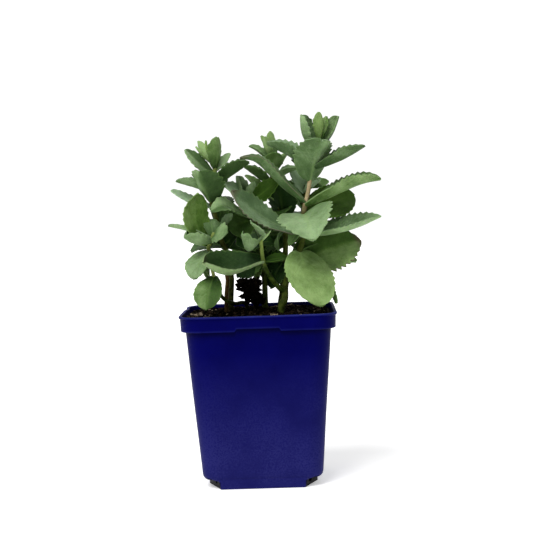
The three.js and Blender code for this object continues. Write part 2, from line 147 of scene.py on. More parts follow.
def join_or_cut(piece, other, operation):
    """Adds the other solid to the piece or cuts it out, then removes it."""
    choose(piece)
    step = piece.modifiers.new(operation.lower(), "BOOLEAN")
    step.operation = operation
    step.solver = "EXACT"
    step.object = other
    bpy.ops.object.modifier_apply(modifier=step.name)
    bpy.data.objects.remove(other)


def foot_block(inset, bottom):
    """The foot, an oblong with its corners cut off aslant, or the room inside it when inset."""
    top = CORNER_RISE + FOOT_REACH
    middle = (top + bottom) / 2
    choose()
    bpy.ops.mesh.primitive_cylinder_add(
        vertices=8, radius=1, depth=top - bottom, location=(0, 0, middle), rotation=(0, 0, math.pi / 8))
    foot = bpy.context.object
    settle(foot)
    deep = BASE_HALF - FOOT_INSET - inset
    for vertex in foot.data.vertices:
        x, y, z = vertex.co
        lean = 0 if z < middle else FOOT_LEAN
        front = (FOOT_FRONT + lean - inset, deep)
        side = (deep - CORNER_TUCK, FOOT_SIDE - inset)
        half_x, half_y = front if abs(y) > abs(x) else side
        vertex.co = (math.copysign(half_x, x), math.copysign(half_y, y), z)
    return foot


def pot_body():
    outer = [
        (CORNER_RISE, body_half(CORNER_RISE) - CORNER_TUCK),
        (CORNER_RISE + 0.4 * MM, body_half(CORNER_RISE) - 2.3 * MM),
        (CORNER_RISE + 1.3 * MM, body_half(CORNER_RISE) - 1.1 * MM),
        (CORNER_RISE + 2.6 * MM, body_half(CORNER_RISE) - 0.2 * MM),
        (CORNER_RISE + 4.4 * MM, body_half(CORNER_RISE + 4.4 * MM)),
    ]
    outer += [(z, body_half(z)) for z in WALL_STATIONS]
    outer += [
        (COLLAR_BOTTOM, body_half(COLLAR_BOTTOM)), (COLLAR_BOTTOM + 0.1 * MM, COLLAR_HALF - 0.4 * MM),
        (COLLAR_BOTTOM + 0.5 * MM, COLLAR_HALF), (COLLAR_BOTTOM + 5 * MM, COLLAR_HALF + 0.2 * MM),
        (POT_HEIGHT - 2.0 * MM, COLLAR_HALF + 0.4 * MM), (POT_HEIGHT - 1.7 * MM, LIP_HALF - 0.3 * MM),
        (POT_HEIGHT - 1.3 * MM, LIP_HALF), (POT_HEIGHT - 0.5 * MM, LIP_HALF),
        (POT_HEIGHT - 0.1 * MM, LIP_HALF - 0.3 * MM), (POT_HEIGHT, LIP_HALF - 0.8 * MM),
        (POT_HEIGHT - 0.3 * MM, COLLAR_HALF + 0.4 * MM - WALL),
    ]
    inner = [
        (LEDGE + 1 * MM, COLLAR_HALF - WALL), (LEDGE, body_half(LEDGE) - WALL),
        (60 * MM, body_half(60 * MM) - WALL),
        (CORNER_RISE + FLOOR + 3 * MM, body_half(CORNER_RISE + FLOOR + 3 * MM) - WALL),
        (CORNER_RISE + FLOOR, body_half(CORNER_RISE + FLOOR) - WALL - 2.2 * MM),
    ]
    return rounded_column("pot_body", outer + inner, CORNER_RADIUS)


def add_foot(pot):
    join_or_cut(pot, foot_block(0, 0), "UNION")
    join_or_cut(pot, foot_block(FLOOR, FLOOR), "DIFFERENCE")
    for x in (-DRAIN_PLACE, DRAIN_PLACE):
        for y in (-DRAIN_PLACE, DRAIN_PLACE):
            join_or_cut(pot, block("drain", DRAIN_SIZE, (x, y, CORNER_RISE)), "DIFFERENCE")


def step_collar(pot):
    """Cuts the walls into columns, then lifts the collar's lower edge in the middle of each side."""
    choose(pot)
    bpy.ops.object.mode_set(mode="EDIT")
    for axis in (Vector((1, 0, 0)), Vector((0, 1, 0))):
        for column in WALL_COLUMNS:
            for side in (-1, 1):
                bpy.ops.mesh.select_all(action="SELECT")
                bpy.ops.mesh.bisect(plane_co=axis * column * side, plane_no=axis)
    low = COLLAR_BOTTOM - 0.2 * MM
    high = COLLAR_BOTTOM + 0.7 * MM
    outside = body_half(COLLAR_BOTTOM) - 0.2 * MM

    def in_notch(place):
        across, outwards = sorted((abs(place.x), abs(place.y)))
        return low < place.z < high and outwards > outside and across < NOTCH_HALF

    pick(in_notch)
    bpy.ops.transform.translate(value=(0, 0, NOTCH_RISE))
    bpy.ops.object.mode_set(mode="OBJECT")


def wear_in(pot):
    """Thin walls never stay true: they belly, the lip ripples, and a knock dents it."""
    for vertex in pot.data.vertices:
        x, y, z = vertex.co
        outwards = Vector((x, y, 0)).normalized()
        high = min(max((z - BELLY_FROM) / (POT_HEIGHT - BELLY_FROM), 0), 1)
        near_lip = max((z - RIPPLE_FROM) / (POT_HEIGHT - RIPPLE_FROM), 0)
        belly = noise.noise(Vector((x, y, z)) * 14) * BELLY * high
        ripple = noise.noise(Vector((x * 45, y * 45, 3))) * RIPPLE * near_lip
        vertex.co += outwards * (belly + ripple)
        if z > LIP_FROM:
            vertex.co.z += noise.noise(Vector((x * 38, y * 38, 9))) * RIPPLE * near_lip
        far = math.hypot(x - DENT_PLACE[0], y - DENT_PLACE[1])
        dent = math.exp(-(far / DENT_WIDTH) ** 2) * near_lip
        vertex.co += Vector((DENT_DEPTH, 0, -DENT_DROP)) * dent


def new_finish(name, roughness, specular):
    """A material, and two functions: one adds a node to it, the other feeds its shader."""
    material = bpy.data.materials.new(name)
    material.use_nodes = True
    tree = material.node_tree

    def feed(node, key, value):
        """Links or sets one input, given by its name, or by its number as in i0."""
        socket = node.inputs[int(key[1:])] if key[1:].isdigit() else node.inputs[key.replace("_", " ")]
        if isinstance(value, bpy.types.NodeSocket):
            tree.links.new(value, socket)
        else:
            socket.default_value = value

    def add(kind, settings=None, **inputs):
        node = tree.nodes.new("ShaderNode" + kind)
        for key, value in (settings or {}).items():
            setattr(node, key, value)
        for key, value in inputs.items():
            feed(node, key, value)
        return node

    def into_shader(key, value):
        feed(tree.nodes["Principled BSDF"], key, value)

    into_shader("Roughness", roughness)
    into_shader("Specular IOR Level", specular)
    return material, add, into_shader


def spots(add, place, scale, detail=3, roughness=0.55):
    """Soft mottling of a given scale per metre, as a number from 0 to 1."""
    return add("TexNoise", Vector=place, Scale=scale, Detail=detail, Roughness=roughness).outputs[0]


def between(add, value, low, high, start=0.0, end=1.0):
    """The value's stretch from low to high, spread from start to end."""
    made = add("MapRange", Value=value, From_Min=low, From_Max=high, To_Min=start, To_Max=end)
    return made.outputs[0]


def calc(add, operation, *values, clamp=False):
    """One step of arithmetic with numbers and node outputs."""
    inputs = {f"i{index}": value for index, value in enumerate(values)}
    return add("Math", {"operation": operation, "use_clamp": clamp}, **inputs).outputs[0]


def times(add, first, second):
    return calc(add, "MULTIPLY", first, second)


def total(add, *values):
    made = values[0]
    for value in values[1:]:
        made = calc(add, "ADD", made, value)
    return made


def blend_colours(add, share, first, second):
    mixer = add("Mix", {"data_type": "RGBA"}, i0=share, i6=first, i7=second)
    return mixer.outputs[2]


def bumps(add, into_shader, *layers):
    """Relief from (strength, depth, height) layers, the coarsest first."""
    below = {}
    for strength, depth, height in layers:
        made = add("Bump", Strength=strength, Distance=depth, Height=height, **below)
        below = {"Normal": made.outputs[0]}
    into_shader("Normal", made.outputs[0])


BLUE_DEEP = (0.0001, 0.0001, 0.058, 1)
BLUE_FULL = (0.0006, 0.0008, 0.082, 1)
BLUE_FLOOR_REFLECTION = (0.016, 0.017, 0.118, 1)  # painted reflection of the pale floor, mottled, towards the foot
BLUE_HIGHLIGHT = (0.02, 0.026, 0.16, 1)  # painted highlight along the lip and the collar's edge
BLUE_SHADED = (0.0001, 0.0001, 0.025, 1)  # close under the collar
PAINTED_HOLLOW_SHADE = (0.0004, 0.0003, 0.003, 1)  # painted shade under the raised corners


def shade_under_corners(add, sides, height):
    """Painted shade in the hollows beside the foot, below the raised corners."""
    off_front = between(add, sides["X"], FOOT_FRONT + 0.1 * MM, FOOT_FRONT + 1 * MM)
    off_side = between(add, sides["Y"], FOOT_SIDE - 4 * MM, FOOT_SIDE)
    below = between(add, height, CORNER_RISE + 0.2 * MM, CORNER_RISE)
    return times(add, times(add, off_front, off_side), below)


def by_collar_edge(add, sides, height):
    """Bands along the collar's stepped lower edge: painted shade under it, painted highlight along it."""
    near_middle = calc(add, "MINIMUM", sides["X"], sides["Y"])
    lifted = between(add, near_middle, NOTCH_HALF + 1 * MM, NOTCH_HALF, 0, NOTCH_RISE)
    level = calc(add, "SUBTRACT", height, lifted)
    near = between(add, level, COLLAR_BOTTOM - 4 * MM, COLLAR_BOTTOM)
    under = times(add, near, between(add, level, COLLAR_BOTTOM + 0.2 * MM, COLLAR_BOTTOM))
    above = between(add, level, COLLAR_BOTTOM + 0.1 * MM, COLLAR_BOTTOM + 0.4 * MM)
    along = times(add, above, between(add, level, COLLAR_BOTTOM + 1.8 * MM, COLLAR_BOTTOM + 0.8 * MM))
    return under, along


def plastic():
    """Deep blue, finely mottled, with a painted floor reflection below, painted shade and highlights."""
    material, add, into_shader = new_finish("pot_blue_plastic", 0.4, 0.02)
    place = add("TexCoord").outputs["Object"]
    height = add("SeparateXYZ", Vector=place).outputs["Z"]
    mirrored = add("VectorMath", {"operation": "ABSOLUTE"}, i0=place).outputs[0]
    sides = add("SeparateXYZ", Vector=mirrored).outputs
    patches = between(add, spots(add, place, 34), 0.3, 0.75)
    grain = between(add, spots(add, place, 900, 2), 0.35, 0.7)
    mottled = between(add, times(add, patches, grain), 0.0, 0.45, 0.5, 1.0)
    # Painted reflection: the pale floor's reflection, mottled, grows towards the foot.
    floor_reflection = times(add, between(add, height, 100 * MM, 20 * MM), mottled)
    colour = blend_colours(add, floor_reflection, blend_colours(add, patches, BLUE_DEEP, BLUE_FULL), BLUE_FLOOR_REFLECTION)
    # Painted shade: the hollows under the raised corners are painted nearly black.
    colour = blend_colours(add, shade_under_corners(add, sides, height), colour, PAINTED_HOLLOW_SHADE)
    under, along = by_collar_edge(add, sides, height)
    colour = blend_colours(add, under, colour, BLUE_SHADED)
    # Painted highlight: pale bands on the lip's top and along the collar's lower edge, in soft patches.
    on_lip = between(add, height, POT_HEIGHT - 1.4 * MM, POT_HEIGHT - 0.6 * MM)
    painted_highlight = times(add, total(add, times(add, along, 0.3), on_lip), between(add, patches, 0, 1, 0.3, 1.0))
    into_shader("Base Color", blend_colours(add, painted_highlight, colour, BLUE_HIGHLIGHT))
    into_shader("Roughness", between(add, grain, 0, 1, 0.36, 0.5))
    peel = spots(add, place, 260, 2)
    bumps(add, into_shader, (0.25, 0.3 * MM, peel), (0.2, 0.1 * MM, spots(add, place, 1800, 2)))
    return material


pot = pot_body()
step_collar(pot)
wear_in(pot)
add_foot(pot)
pot.name = "pot_shell"
pot.data.materials.clear()
pot.data.materials.append(plastic())
choose(pot)
bpy.ops.object.shade_smooth_by_angle(angle=math.radians(32))
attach(pot, "root")
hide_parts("pot")

# Soil
# Dark peat-based potting mix that fills the pot to just under its rim, with crumbs and bark chips
# lying on it. It was pressed in around the roots, and the stems stand in it.

GAP = 0.4 * MM  # clearance to the pot's wall
SOIL_EDGE = 122.2 * MM
SOIL_CROWN = 4 * MM
SOIL_HALF = COLLAR_HALF - WALL - GAP
SLACK = 1.4 * MM  # clearance below the collar, where the wall bellies
SOIL_CELLS = 120
CRUMB_COUNT = 1500
CRUMB_SIZE = (1 * MM, 2.9 * MM)
CHIP_COUNT = 150
CHIP_SIZE = (2 * MM, 6 * MM)
CHIPS_CLEAR = 4.5  # mm around the middle of a stem that stay free of chips
STEM_FEET = [(17, -22), (18, 19), (-21, 6), (-24, -3), (-9, 8), (17, 30), (5, 8), (-1, -4)]  # mm
PEAT_DARK = (0.0015, 0.0012, 0.001, 1)
PEAT_BROWN = (0.008, 0.005, 0.0035, 1)
PEAT_FIBRE = (0.03, 0.019, 0.012, 1)
CRUMB_PALE = (0.05, 0.032, 0.02, 1)
BARK_DARK = (0.01, 0.006, 0.004, 1)
BARK_PALE = (0.36, 0.28, 0.2, 1)


def soil_height(x, y):
    """The same low mound as the solid has."""
    outwards = max(abs(x), abs(y)) / COLLAR_HALF
    lumps = 0.7 * math.sin(310 * x + 1.3) * math.cos(270 * y) + 0.5 * math.sin(800 * x + 550 * y)
    return SOIL_EDGE + SOIL_CROWN * (1 - outwards ** 2) + lumps * MM * (1 - outwards ** 4)


def crumbled(x, y):
    """The mound with the crumbs of its surface."""
    place = Vector((x, y, 0))
    coarse = noise.fractal(place * 220, 1.0, 2.0, 3)
    fine = noise.noise(place * 900)
    edge = 1 - (max(abs(x), abs(y)) / COLLAR_HALF) ** 6
    return soil_height(x, y) + (1.3 * coarse + 0.5 * fine) * MM * edge


def into_corner(x, y, half, radius):
    """Draws a place past a corner's arc back onto it."""
    core = half - radius
    beyond = Vector((max(abs(x) - core, 0), max(abs(y) - core, 0)))
    if beyond.x > 0 and beyond.y > 0 and beyond.length > 0:
        square = max(beyond.x, beyond.y)
        beyond *= square / beyond.length
    return (math.copysign(min(abs(x), core) + beyond.x, x), math.copysign(min(abs(y), core) + beyond.y, y))


def soil_block():
    """The mound, let down along the pot's wall and closed at the bottom."""
    choose()
    bpy.ops.mesh.primitive_grid_add(
        x_subdivisions=SOIL_CELLS, y_subdivisions=SOIL_CELLS, size=2 * SOIL_HALF)
    soil = bpy.context.object
    soil.name = "soil_peat"
    for vertex in soil.data.vertices:
        x, y = into_corner(vertex.co.x, vertex.co.y, SOIL_HALF, CORNER_RADIUS - WALL - GAP)
        vertex.co = (x, y, crumbled(x, y))
    bpy.ops.object.mode_set(mode="EDIT")
    bpy.ops.mesh.select_all(action="DESELECT")
    bpy.ops.mesh.select_mode(type="EDGE")
    bpy.ops.mesh.select_non_manifold()
    floor = CORNER_RISE + FLOOR + GAP
    floor_half = body_half(floor) - WALL - SLACK
    half = SOIL_HALF
    for next_z, next_half in [
        (LEDGE + 1.6 * MM, SOIL_HALF - SLACK), (LEDGE + 0.6 * MM, body_half(LEDGE) - WALL - SLACK),
        (floor + 3 * MM, floor_half), (floor, floor_half - 2.2 * MM),
    ]:
        bpy.ops.mesh.extrude_edges_move(TRANSFORM_OT_translate={"value": (0, 0, 0)})
        share = next_half / half
        bpy.ops.transform.resize(value=(share, share, 0), center_override=(0, 0, next_z))
        half = next_half
    bpy.ops.mesh.edge_face_add()
    bpy.ops.mesh.select_all(action="SELECT")
    bpy.ops.mesh.normals_make_consistent(inside=False)
    choose(soil)
    highest = max(soil.data.polygons, key=lambda face: face.center.z)
    if highest.normal.z < 0:  # all faces agree by now, and the mound's own have to look up
        soil.data.flip_normals()
    bpy.ops.object.shade_smooth()
    return soil


def give_numbers(mesh, name, values):
    mesh.attributes.new(name, "FLOAT", "POINT").data.foreach_set("value", values)


def scattered(name, shape, count, seed, size, lift, clear):
    """Copies of one small shape lying on the soil, each turned, sized and toned for itself.

    None lies closer than clear, in mm, to the middle of a stem.
    """
    draw = random.Random(seed)
    corners = [vertex.co.copy() for vertex in shape.data.vertices]
    sides = [list(polygon.vertices) for polygon in shape.data.polygons]
    points, faces, tones = [], [], []
    reach = SOIL_HALF - 3 * MM
    placed = 0
    while placed < count:
        x, y = into_corner(draw.uniform(-reach, reach), draw.uniform(-reach, reach), reach, 10 * MM)
        draw.random()  # a spare number, drawn so that the ones after it stay the same
        if any(math.hypot(x / MM - foot_x, y / MM - foot_y) < clear for foot_x, foot_y in STEM_FEET):
            continue
        long = draw.uniform(*size)
        tilt = Quaternion((draw.gauss(0, 1), draw.gauss(0, 1), 0.001), draw.gauss(0, 0.45))
        turn = tilt @ Quaternion((0, 0, 1), draw.uniform(0, 2 * math.pi))
        stretch = Vector((1, draw.uniform(0.6, 1), draw.uniform(0.6, 1)))
        tone = draw.random()
        low = len(points)
        ground = Vector((x, y, crumbled(x, y) + lift * long))
        for corner in corners:
            points.append(ground + turn @ (corner * stretch * long))
            tones.append(tone)
        faces += [[low + index for index in side] for side in sides]
        placed += 1
    bpy.data.objects.remove(shape)
    mesh = bpy.data.meshes.new(name)
    mesh.from_pydata(points, [], faces)
    give_numbers(mesh, "tone", tones)
    piece = bpy.data.objects.new(name, mesh)
    bpy.context.scene.collection.objects.link(piece)
    return piece


def crumb_shape():
    """A rough lump."""
    choose()
    bpy.ops.mesh.primitive_ico_sphere_add(subdivisions=2, radius=0.5)
    crumb = bpy.context.object
    for vertex in crumb.data.vertices:
        vertex.co *= 1 + 0.45 * noise.noise(vertex.co * 3.1)
    return crumb


def chip_shape():
    """A torn flake of bark, long, thin and slightly bent."""
    choose()
    bpy.ops.mesh.primitive_cube_add(size=1, scale=(1, 0.42, 0.2))
    chip = bpy.context.object
    settle(chip)
    bpy.ops.object.mode_set(mode="EDIT")
    bpy.ops.mesh.select_all(action="SELECT")
    bpy.ops.mesh.subdivide(number_cuts=3)
    bpy.ops.object.mode_set(mode="OBJECT")
    for vertex in chip.data.vertices:
        place = vertex.co.copy()
        vertex.co.z += 0.16 * place.x ** 2 + 0.08 * noise.noise(place * 4)
        vertex.co.x *= 1 + 0.25 * noise.noise(Vector((place.y * 9, place.z * 9, 1)))
        vertex.co.y *= 1 - 0.5 * abs(place.x) + 0.3 * noise.noise(Vector((place.x * 6, place.z * 9, 5)))
    return chip


def peat():
    material, add, into_shader = new_finish("peat", 0.95, 0.02)
    place = add("TexCoord").outputs["Object"]
    clods = between(add, spots(add, place, 420, 4, 0.7), 0.35, 0.7)
    fibres = between(add, spots(add, place, 1500, 3), 0.55, 0.75)
    earth = blend_colours(add, clods, PEAT_DARK, PEAT_BROWN)
    into_shader("Base Color", blend_colours(add, fibres, earth, PEAT_FIBRE))
    bumps(add, into_shader, (0.9, 1.2 * MM, spots(add, place, 700, 5, 0.7)))
    return material


def toned(name, dark, light, roughness, rarity):
    """Crumbs or chips that each have their own tone between dark and light, light being rare."""
    material, add, into_shader = new_finish(name, roughness, 0.02)
    place = add("TexCoord").outputs["Object"]
    tone = add("Attribute", {"attribute_name": "tone"}).outputs["Fac"]
    own = blend_colours(add, calc(add, "POWER", tone, rarity), dark, light)
    streaks = between(add, spots(add, place, 1300, 4, 0.7), 0.3, 0.7, 0.5, 1.25)
    into_shader("Base Color", add("VectorMath", {"operation": "SCALE"}, i0=own, Scale=streaks).outputs[0])
    bumps(add, into_shader, (0.7, 0.6 * MM, spots(add, place, 1700, 4, 0.7)))
    return material


soil = soil_block()
soil.data.materials.clear()
soil.data.materials.append(peat())
crumbs = scattered("soil_crumbs", crumb_shape(), CRUMB_COUNT, 3, CRUMB_SIZE, 0.1, 0)
crumbs.data.materials.append(toned("peat_crumbs", PEAT_DARK, CRUMB_PALE, 0.95, 4.0))
chips = scattered("bark_chips", chip_shape(), CHIP_COUNT, 5, CHIP_SIZE, 0.12, CHIPS_CLEAR)
chips.data.materials.append(toned("bark", BARK_DARK, BARK_PALE, 0.85, 3.4))
for piece in (soil, crumbs, chips):
    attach(piece, "root")
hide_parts("soil")

# Tall stem at the right
# The strongest shoot: a round fleshy stem with crossed pairs of thick, toothed leaves, rolled and
# folded along the midrib, and a bud of young leaves on top. A slender side shoot leaves its foot.

ROOT_END = 100  # the buried end of every stem, in mm
STEM_SIDES = 14
STEM_STEP = 2.2  # mm from ring to ring
STEM_WOBBLE = 0.05  # how far its thickness varies
JOINT_SWELL = 0.22  # mm that a stem swells by under each leaf
JOINT_REACH = 1.6  # mm that the swelling reaches up and down
FRESHENING = 12  # mm of stem over which its old skin gives way to young skin
LEAF_ROWS = 80
LEAF_COLUMNS = 14
BLADE = 1.5 * MM  # thickness of a leaf along its midrib
YOUNG_BLADE = 0.75  # of that in a leaf shorter than YOUNG_LENGTH
YOUNG_LENGTH = 20  # mm
MARGIN_SHARE = 0.5  # of the thickness is left at the margin
FOOT_SHARE = 0.2  # width of a leaf's foot as a share of its full width
LEAST_HALF = 0.35  # mm, half the width where a leaf comes to a point
WIDEST = 0.574  # share of its length where a leaf is widest, unless its row says otherwise
POINTED = 0.72  # a lower power gives a rounder leaf
BLUNTER = 0.22  # what a blunt leaf takes off it
CREASE_ROUNDING = 0.012  # how softly the fold turns at the midrib
CREASE_LIFT = 0.11  # what that rounding lifts the midrib by, taken off again
WAVE = 0.05  # how far the margins wave, as a share of the width
PUCKER = 0.012  # how far the whole face does
TOOTH_LENGTH = 4.3  # mm from tooth to tooth
TOOTH_DEPTH = 0.18  # of the half width
TOOTH_RISE = 0.72  # share of a tooth that slopes outwards
TOOTH_START = 0.3  # the margin is smooth from the foot to here
WITHERED_WAVE = 0.5  # a dead leaf's crumpling, as a share of its width
WITHERED_TOOTH = 1.2

# Places and sizes are in mm, angles in degrees. A row is one leaf: the height of its foot on the
# stem, the place of its tip, its width, how far it arches, how far it is rolled about its length
# and how far its two sides are folded up. Then comes what only some leaves have: another outline,
# sweep or teeth, and the look: tone from 0 dark to 1 bloomed, set low on inner and lower leaves as
# painted shade, under where the lower face differs, warm from 0 bluish to 1 yellowish, flush for a
# purple edge, and the half light, painted light and shade that lifts the left half's tone and
# lowers the right half's by that share.

TALL_ROUTE = [
    (17, -22, ROOT_END), (17, -22, 128), (20, -21, 136), (21, -19, 147), (27, -18, 160),
    (32, -17, 171), (35, -17, 181), (36, -17, 198), (40, -17, 215), (41, -17, 221), (45, -17, 237),
    (48, -17, 247), (49, -17, 251),
]
TALL_RADIUS = (3.1, 1.1)
TALL_LEAVES = [
    (157, (59, 2, 130), 18, 8, 20, 10, dict(tone=0.35)),
    (161, (78, -3, 177), 41, 1, 52, 16,
     dict(tone=0.5, warm=0.75, widest=0.5, blunt=0.3, flush=0.8, halves=-0.3)),
    (171, (46, -46, 132), 37, 5, 0, 8,
     dict(tone=0.79, under=0.7, warm=0.75, sweep=-4, blunt=1, teeth=0.4)),
    (171, (40, 10, 171), 24, 3, 0, 15, dict(tone=0.1)),
    (182, (-16, -27, 216), 24, -5, -45, 12, dict(tone=0.5, warm=0.1, widest=0.66, flush=0.6, halves=0.1)),
    (182, (92, -24, 195), 26, -4, 20, 38, dict(tone=0.5, under=0.75, warm=0.25)),
    (186, (24, -21, 175), 9, 2, -40, 30, dict(tone=0.35, warm=0.5)),
    (198, (42, -55, 180), 42, 4, 17, 25,
     dict(tone=0.8, under=0.7, warm=0.3, widest=0.5, blunt=0.8, halves=-0.03)),
    (198, (75, 5, 210), 27, 3, 60, 10, dict(tone=0.25, warm=0.9, blunt=0.5, teeth=0.4)),
    (206, (-10, -14, 241), 20, 5, -5, 42, dict(tone=0.45, under=0.5, warm=0.2, power=2.8, flush=0.5)),
    (204, (93, -20, 222), 27, 2, 5, 42,
     dict(tone=0.55, under=0.65, warm=0.5, power=2.2, widest=0.62, blunt=0.7)),
    (222, (50, -40, 251), 30, 6, 0, 24,
     dict(tone=0.62, under=0.65, warm=0.2, sweep=1.5, widest=0.5, blunt=0.8, halves=0.12)),
    (222, (37, 10, 245), 24, 3, 0, 20, dict(tone=0.2, warm=0.5)),
    (232, (11, -14, 251), 26, 0, -8, 42, dict(tone=0.8, under=0.5, warm=0.1)),
    (231, (82, -20, 247), 23, -2, 5, 42, dict(tone=0.5, under=0.46, warm=0.2)),
    (243, (37, -20, 270), 24, -4, -32, 40, dict(tone=0.55, under=0.7, warm=0.25, blunt=0.9)),
    (244, (63, -15, 269), 17, -3, 32, 42, dict(tone=0.65, under=0.5, warm=0.4, blunt=0.7)),
    (247, (49, -19, 272), 9, -1, 0, 20, dict(tone=0.78, warm=0.7, widest=0.7, halves=0.1)),
    (249, (55, -16, 269), 6, -1, 70, 25, dict(tone=0.75, warm=0.7, widest=0.7, halves=0.15)),
]

SIDE_ROUTE = [
    (21, -20, 141), (17, -22, 143), (9, -26, 154), (5, -28, 165), (4, -28, 178), (3, -28, 183),
]
SIDE_RADIUS = (1.9, 1.2)
SIDE_LEAVES = [
    (164, (-38, -36, 165), 35, -9, -27, 45,
     dict(tone=0.1, under=1, warm=0.4, power=1.3, widest=0.62, blunt=0.9, teeth=0.4, flush=0.2)),
    (164, (24, -22, 166), 10, 1, 30, 20, dict(tone=0.05, warm=0.9)),
    (181, (-9, -33, 184), 28, -10, -10, 50, dict(tone=0.18, under=0.65, warm=0.2, widest=0.5, blunt=0.9)),
    (181, (-2, -40, 193), 17, 1, -40, 14, dict(tone=0.7, under=0.75, warm=0.2, widest=0.6, blunt=0.6)),
    (179, (11, -22, 187), 8, 0, 0, 20, dict(tone=0.92)),
]


def smooth_route(route):
    """Points every few mm on a smooth curve through the route."""
    marks = [Vector(mark) for mark in route]
    marks = [2 * marks[0] - marks[1]] + marks + [2 * marks[-1] - marks[-2]]
    line = []
    for a, b, c, d in zip(marks, marks[1:], marks[2:], marks[3:]):
        count = max(2, round((c - b).length / STEM_STEP))
        for index in range(count):
            t = index / count
            bend = (2 * a - 5 * b + 4 * c - d) * t ** 2 + (3 * b - a - 3 * c + d) * t ** 3
            line.append(b + ((c - a) * t + bend) / 2)
    line.append(marks[-2])
    return line


def place_at(line, height):
    """The stem's middle at a height."""
    for low, high in zip(line, line[1:]):
        if low.z <= height <= high.z:
            return low.lerp(high, (height - low.z) / max(high.z - low.z, 1e-6))
    return line[-1] if height > line[-1].z else line[0]


def stem_tube(name, line, radius, joints, wither):
    """A bent rod that thins upwards and swells a little under each pair of leaves."""
    curve = bpy.data.curves.new(name, "CURVE")
    curve.dimensions = "3D"
    curve.bevel_depth = 1
    curve.bevel_resolution = STEM_SIDES // 2 - 2
    curve.use_fill_caps = True
    spline = curve.splines.new("POLY")
    spline.points.add(len(line) - 1)
    thick, thin = radius
    for index, (point, place) in enumerate(zip(spline.points, line)):
        share = index / (len(line) - 1)
        swell = sum(math.exp(-((place.z - joint) / JOINT_REACH) ** 2) for joint in joints)
        wobble = 1 + STEM_WOBBLE * noise.noise(place * 0.25) + wither * noise.noise(place * 0.7)
        point.co = (*(place * MM), 1)
        point.radius = (thick + (thin - thick) * share + JOINT_SWELL * min(swell, 1.4)) * wobble * MM
    rod = bpy.data.objects.new(name, curve)
    bpy.context.scene.collection.objects.link(rod)
    choose(rod)
    bpy.ops.object.convert(target="MESH")
    return bpy.context.object


def outline(share, shape):
    """Half the width of a leaf at a share of its length, for a full half width of 1."""
    swing = share ** (math.log(0.5) / math.log(shape.get("widest", WIDEST)))
    blade = max(math.sin(math.pi * swing), 0)
    return blade ** (POINTED - BLUNTER * shape.get("blunt", 0)) + FOOT_SHARE * (1 - share) ** 3


def tooth(share, long):
    """Forward-pointing teeth: a slow rise outwards, then a quick step back."""
    count = max(round(long / TOOTH_LENGTH), 2)
    phase = (share * count) % 1
    rise = phase / TOOTH_RISE if phase < TOOTH_RISE else (1 - phase) / (1 - TOOTH_RISE)
    fade = min(max((share - TOOTH_START) / 0.12, 0), 1)
    return fade * (rise - 0.45)


def leaf_point(row, axes, across, share, withered):
    """A point of the leaf's face: across from 1 at the left margin to -1, share from foot to tip."""
    foot, tip, wide, arch, roll, fold, shape = row
    base, long, along, left, up = axes
    power = shape.get("power", 1)
    bend = arch * math.sin(math.pi * share ** power)
    slope = arch * math.pi * power * share ** (power - 1) * math.cos(math.pi * share ** power)
    normal = (along * long + up * slope).normalized().cross(left)
    depth = WITHERED_TOOTH if withered else TOOTH_DEPTH
    jut = depth * shape.get("teeth", 1) * tooth(share, long)
    half = max(wide / 2 * outline(share, shape) * (1 + jut), LEAST_HALF)
    fold = math.radians(fold)
    creased = math.sqrt(across ** 2 + CREASE_ROUNDING) - CREASE_LIFT
    own = Vector((foot * 1.7 + tip[0], long * 3.1, wide * 2.3))
    wave = WAVE * abs(across) ** 1.5 * noise.noise(own + Vector((across * 0.9, share * 3.2, 0)))
    wave += PUCKER * noise.noise(own + Vector((across * 2.2, share * 6, 4)))
    if withered:
        wave += WITHERED_WAVE * noise.noise(own + Vector((across * 2, share * 5, 8)))
    place = base + along * long * share + up * (bend + creased * half * math.sin(fold))
    place += left * (across * half * math.cos(fold) + shape.get("sweep", 0) * math.sin(math.pi * share))
    return (place + normal * wide * wave * min(share * 4, 1)) * MM


def leaf(line, row, finishes, withered):
    """One leaf, from a grid bent to its outline and thickened, with its own numbers for its look."""
    foot, tip, wide, arch, roll, fold, shape = row
    base = place_at(line, foot)
    along = Vector(tip) - base
    long = along.length
    along.normalize()
    left = Quaternion(along, math.radians(roll)) @ Vector((-along.y, along.x, 0)).normalized()
    axes = (base, long, along, left, along.cross(left))
    rows = max(16, round(LEAF_ROWS * min(long / 45, 1)))
    choose()
    bpy.ops.mesh.primitive_grid_add(x_subdivisions=LEAF_COLUMNS, y_subdivisions=rows, size=2)
    blade = bpy.context.object
    thickness = blade.vertex_groups.new(name="thickness")
    painted_half_tones = []
    for vertex in blade.data.vertices:
        across = math.copysign(abs(vertex.co.x) ** 0.8, -vertex.co.x)
        # Painted light and shade: the half light lifts one half's tone and lowers the other's.
        painted_half_tones.append(shape.get("halves", 0) * max(min(across * 5, 1), -1))
        vertex.co = leaf_point(row, axes, across, (vertex.co.y + 1) / 2, withered)
        thickness.add([vertex.index], 1 - (1 - MARGIN_SHARE) * abs(across) ** 3, "REPLACE")
    give_numbers(blade.data, "lean", painted_half_tones)
    for finish in finishes:
        blade.data.materials.append(finish)
    flesh = blade.modifiers.new("flesh", "SOLIDIFY")
    flesh.thickness = BLADE * (YOUNG_BLADE if long < YOUNG_LENGTH else 1)
    flesh.offset = -1
    flesh.vertex_group = "thickness"
    flesh.material_offset = 1
    flesh.material_offset_rim = 2
    upper = len(blade.data.vertices)
    bpy.ops.object.modifier_apply(modifier="flesh")
    under = len(blade.data.vertices) - upper
    tone = shape.get("tone", 0)
    give_numbers(blade.data, "tone", [tone] * upper + [shape.get("under", tone)] * under)
    give_numbers(blade.data, "warm", [shape.get("warm", 0.6)] * (upper + under))
    give_numbers(blade.data, "flush", [shape.get("flush", 0)] * (upper + under))
    return blade


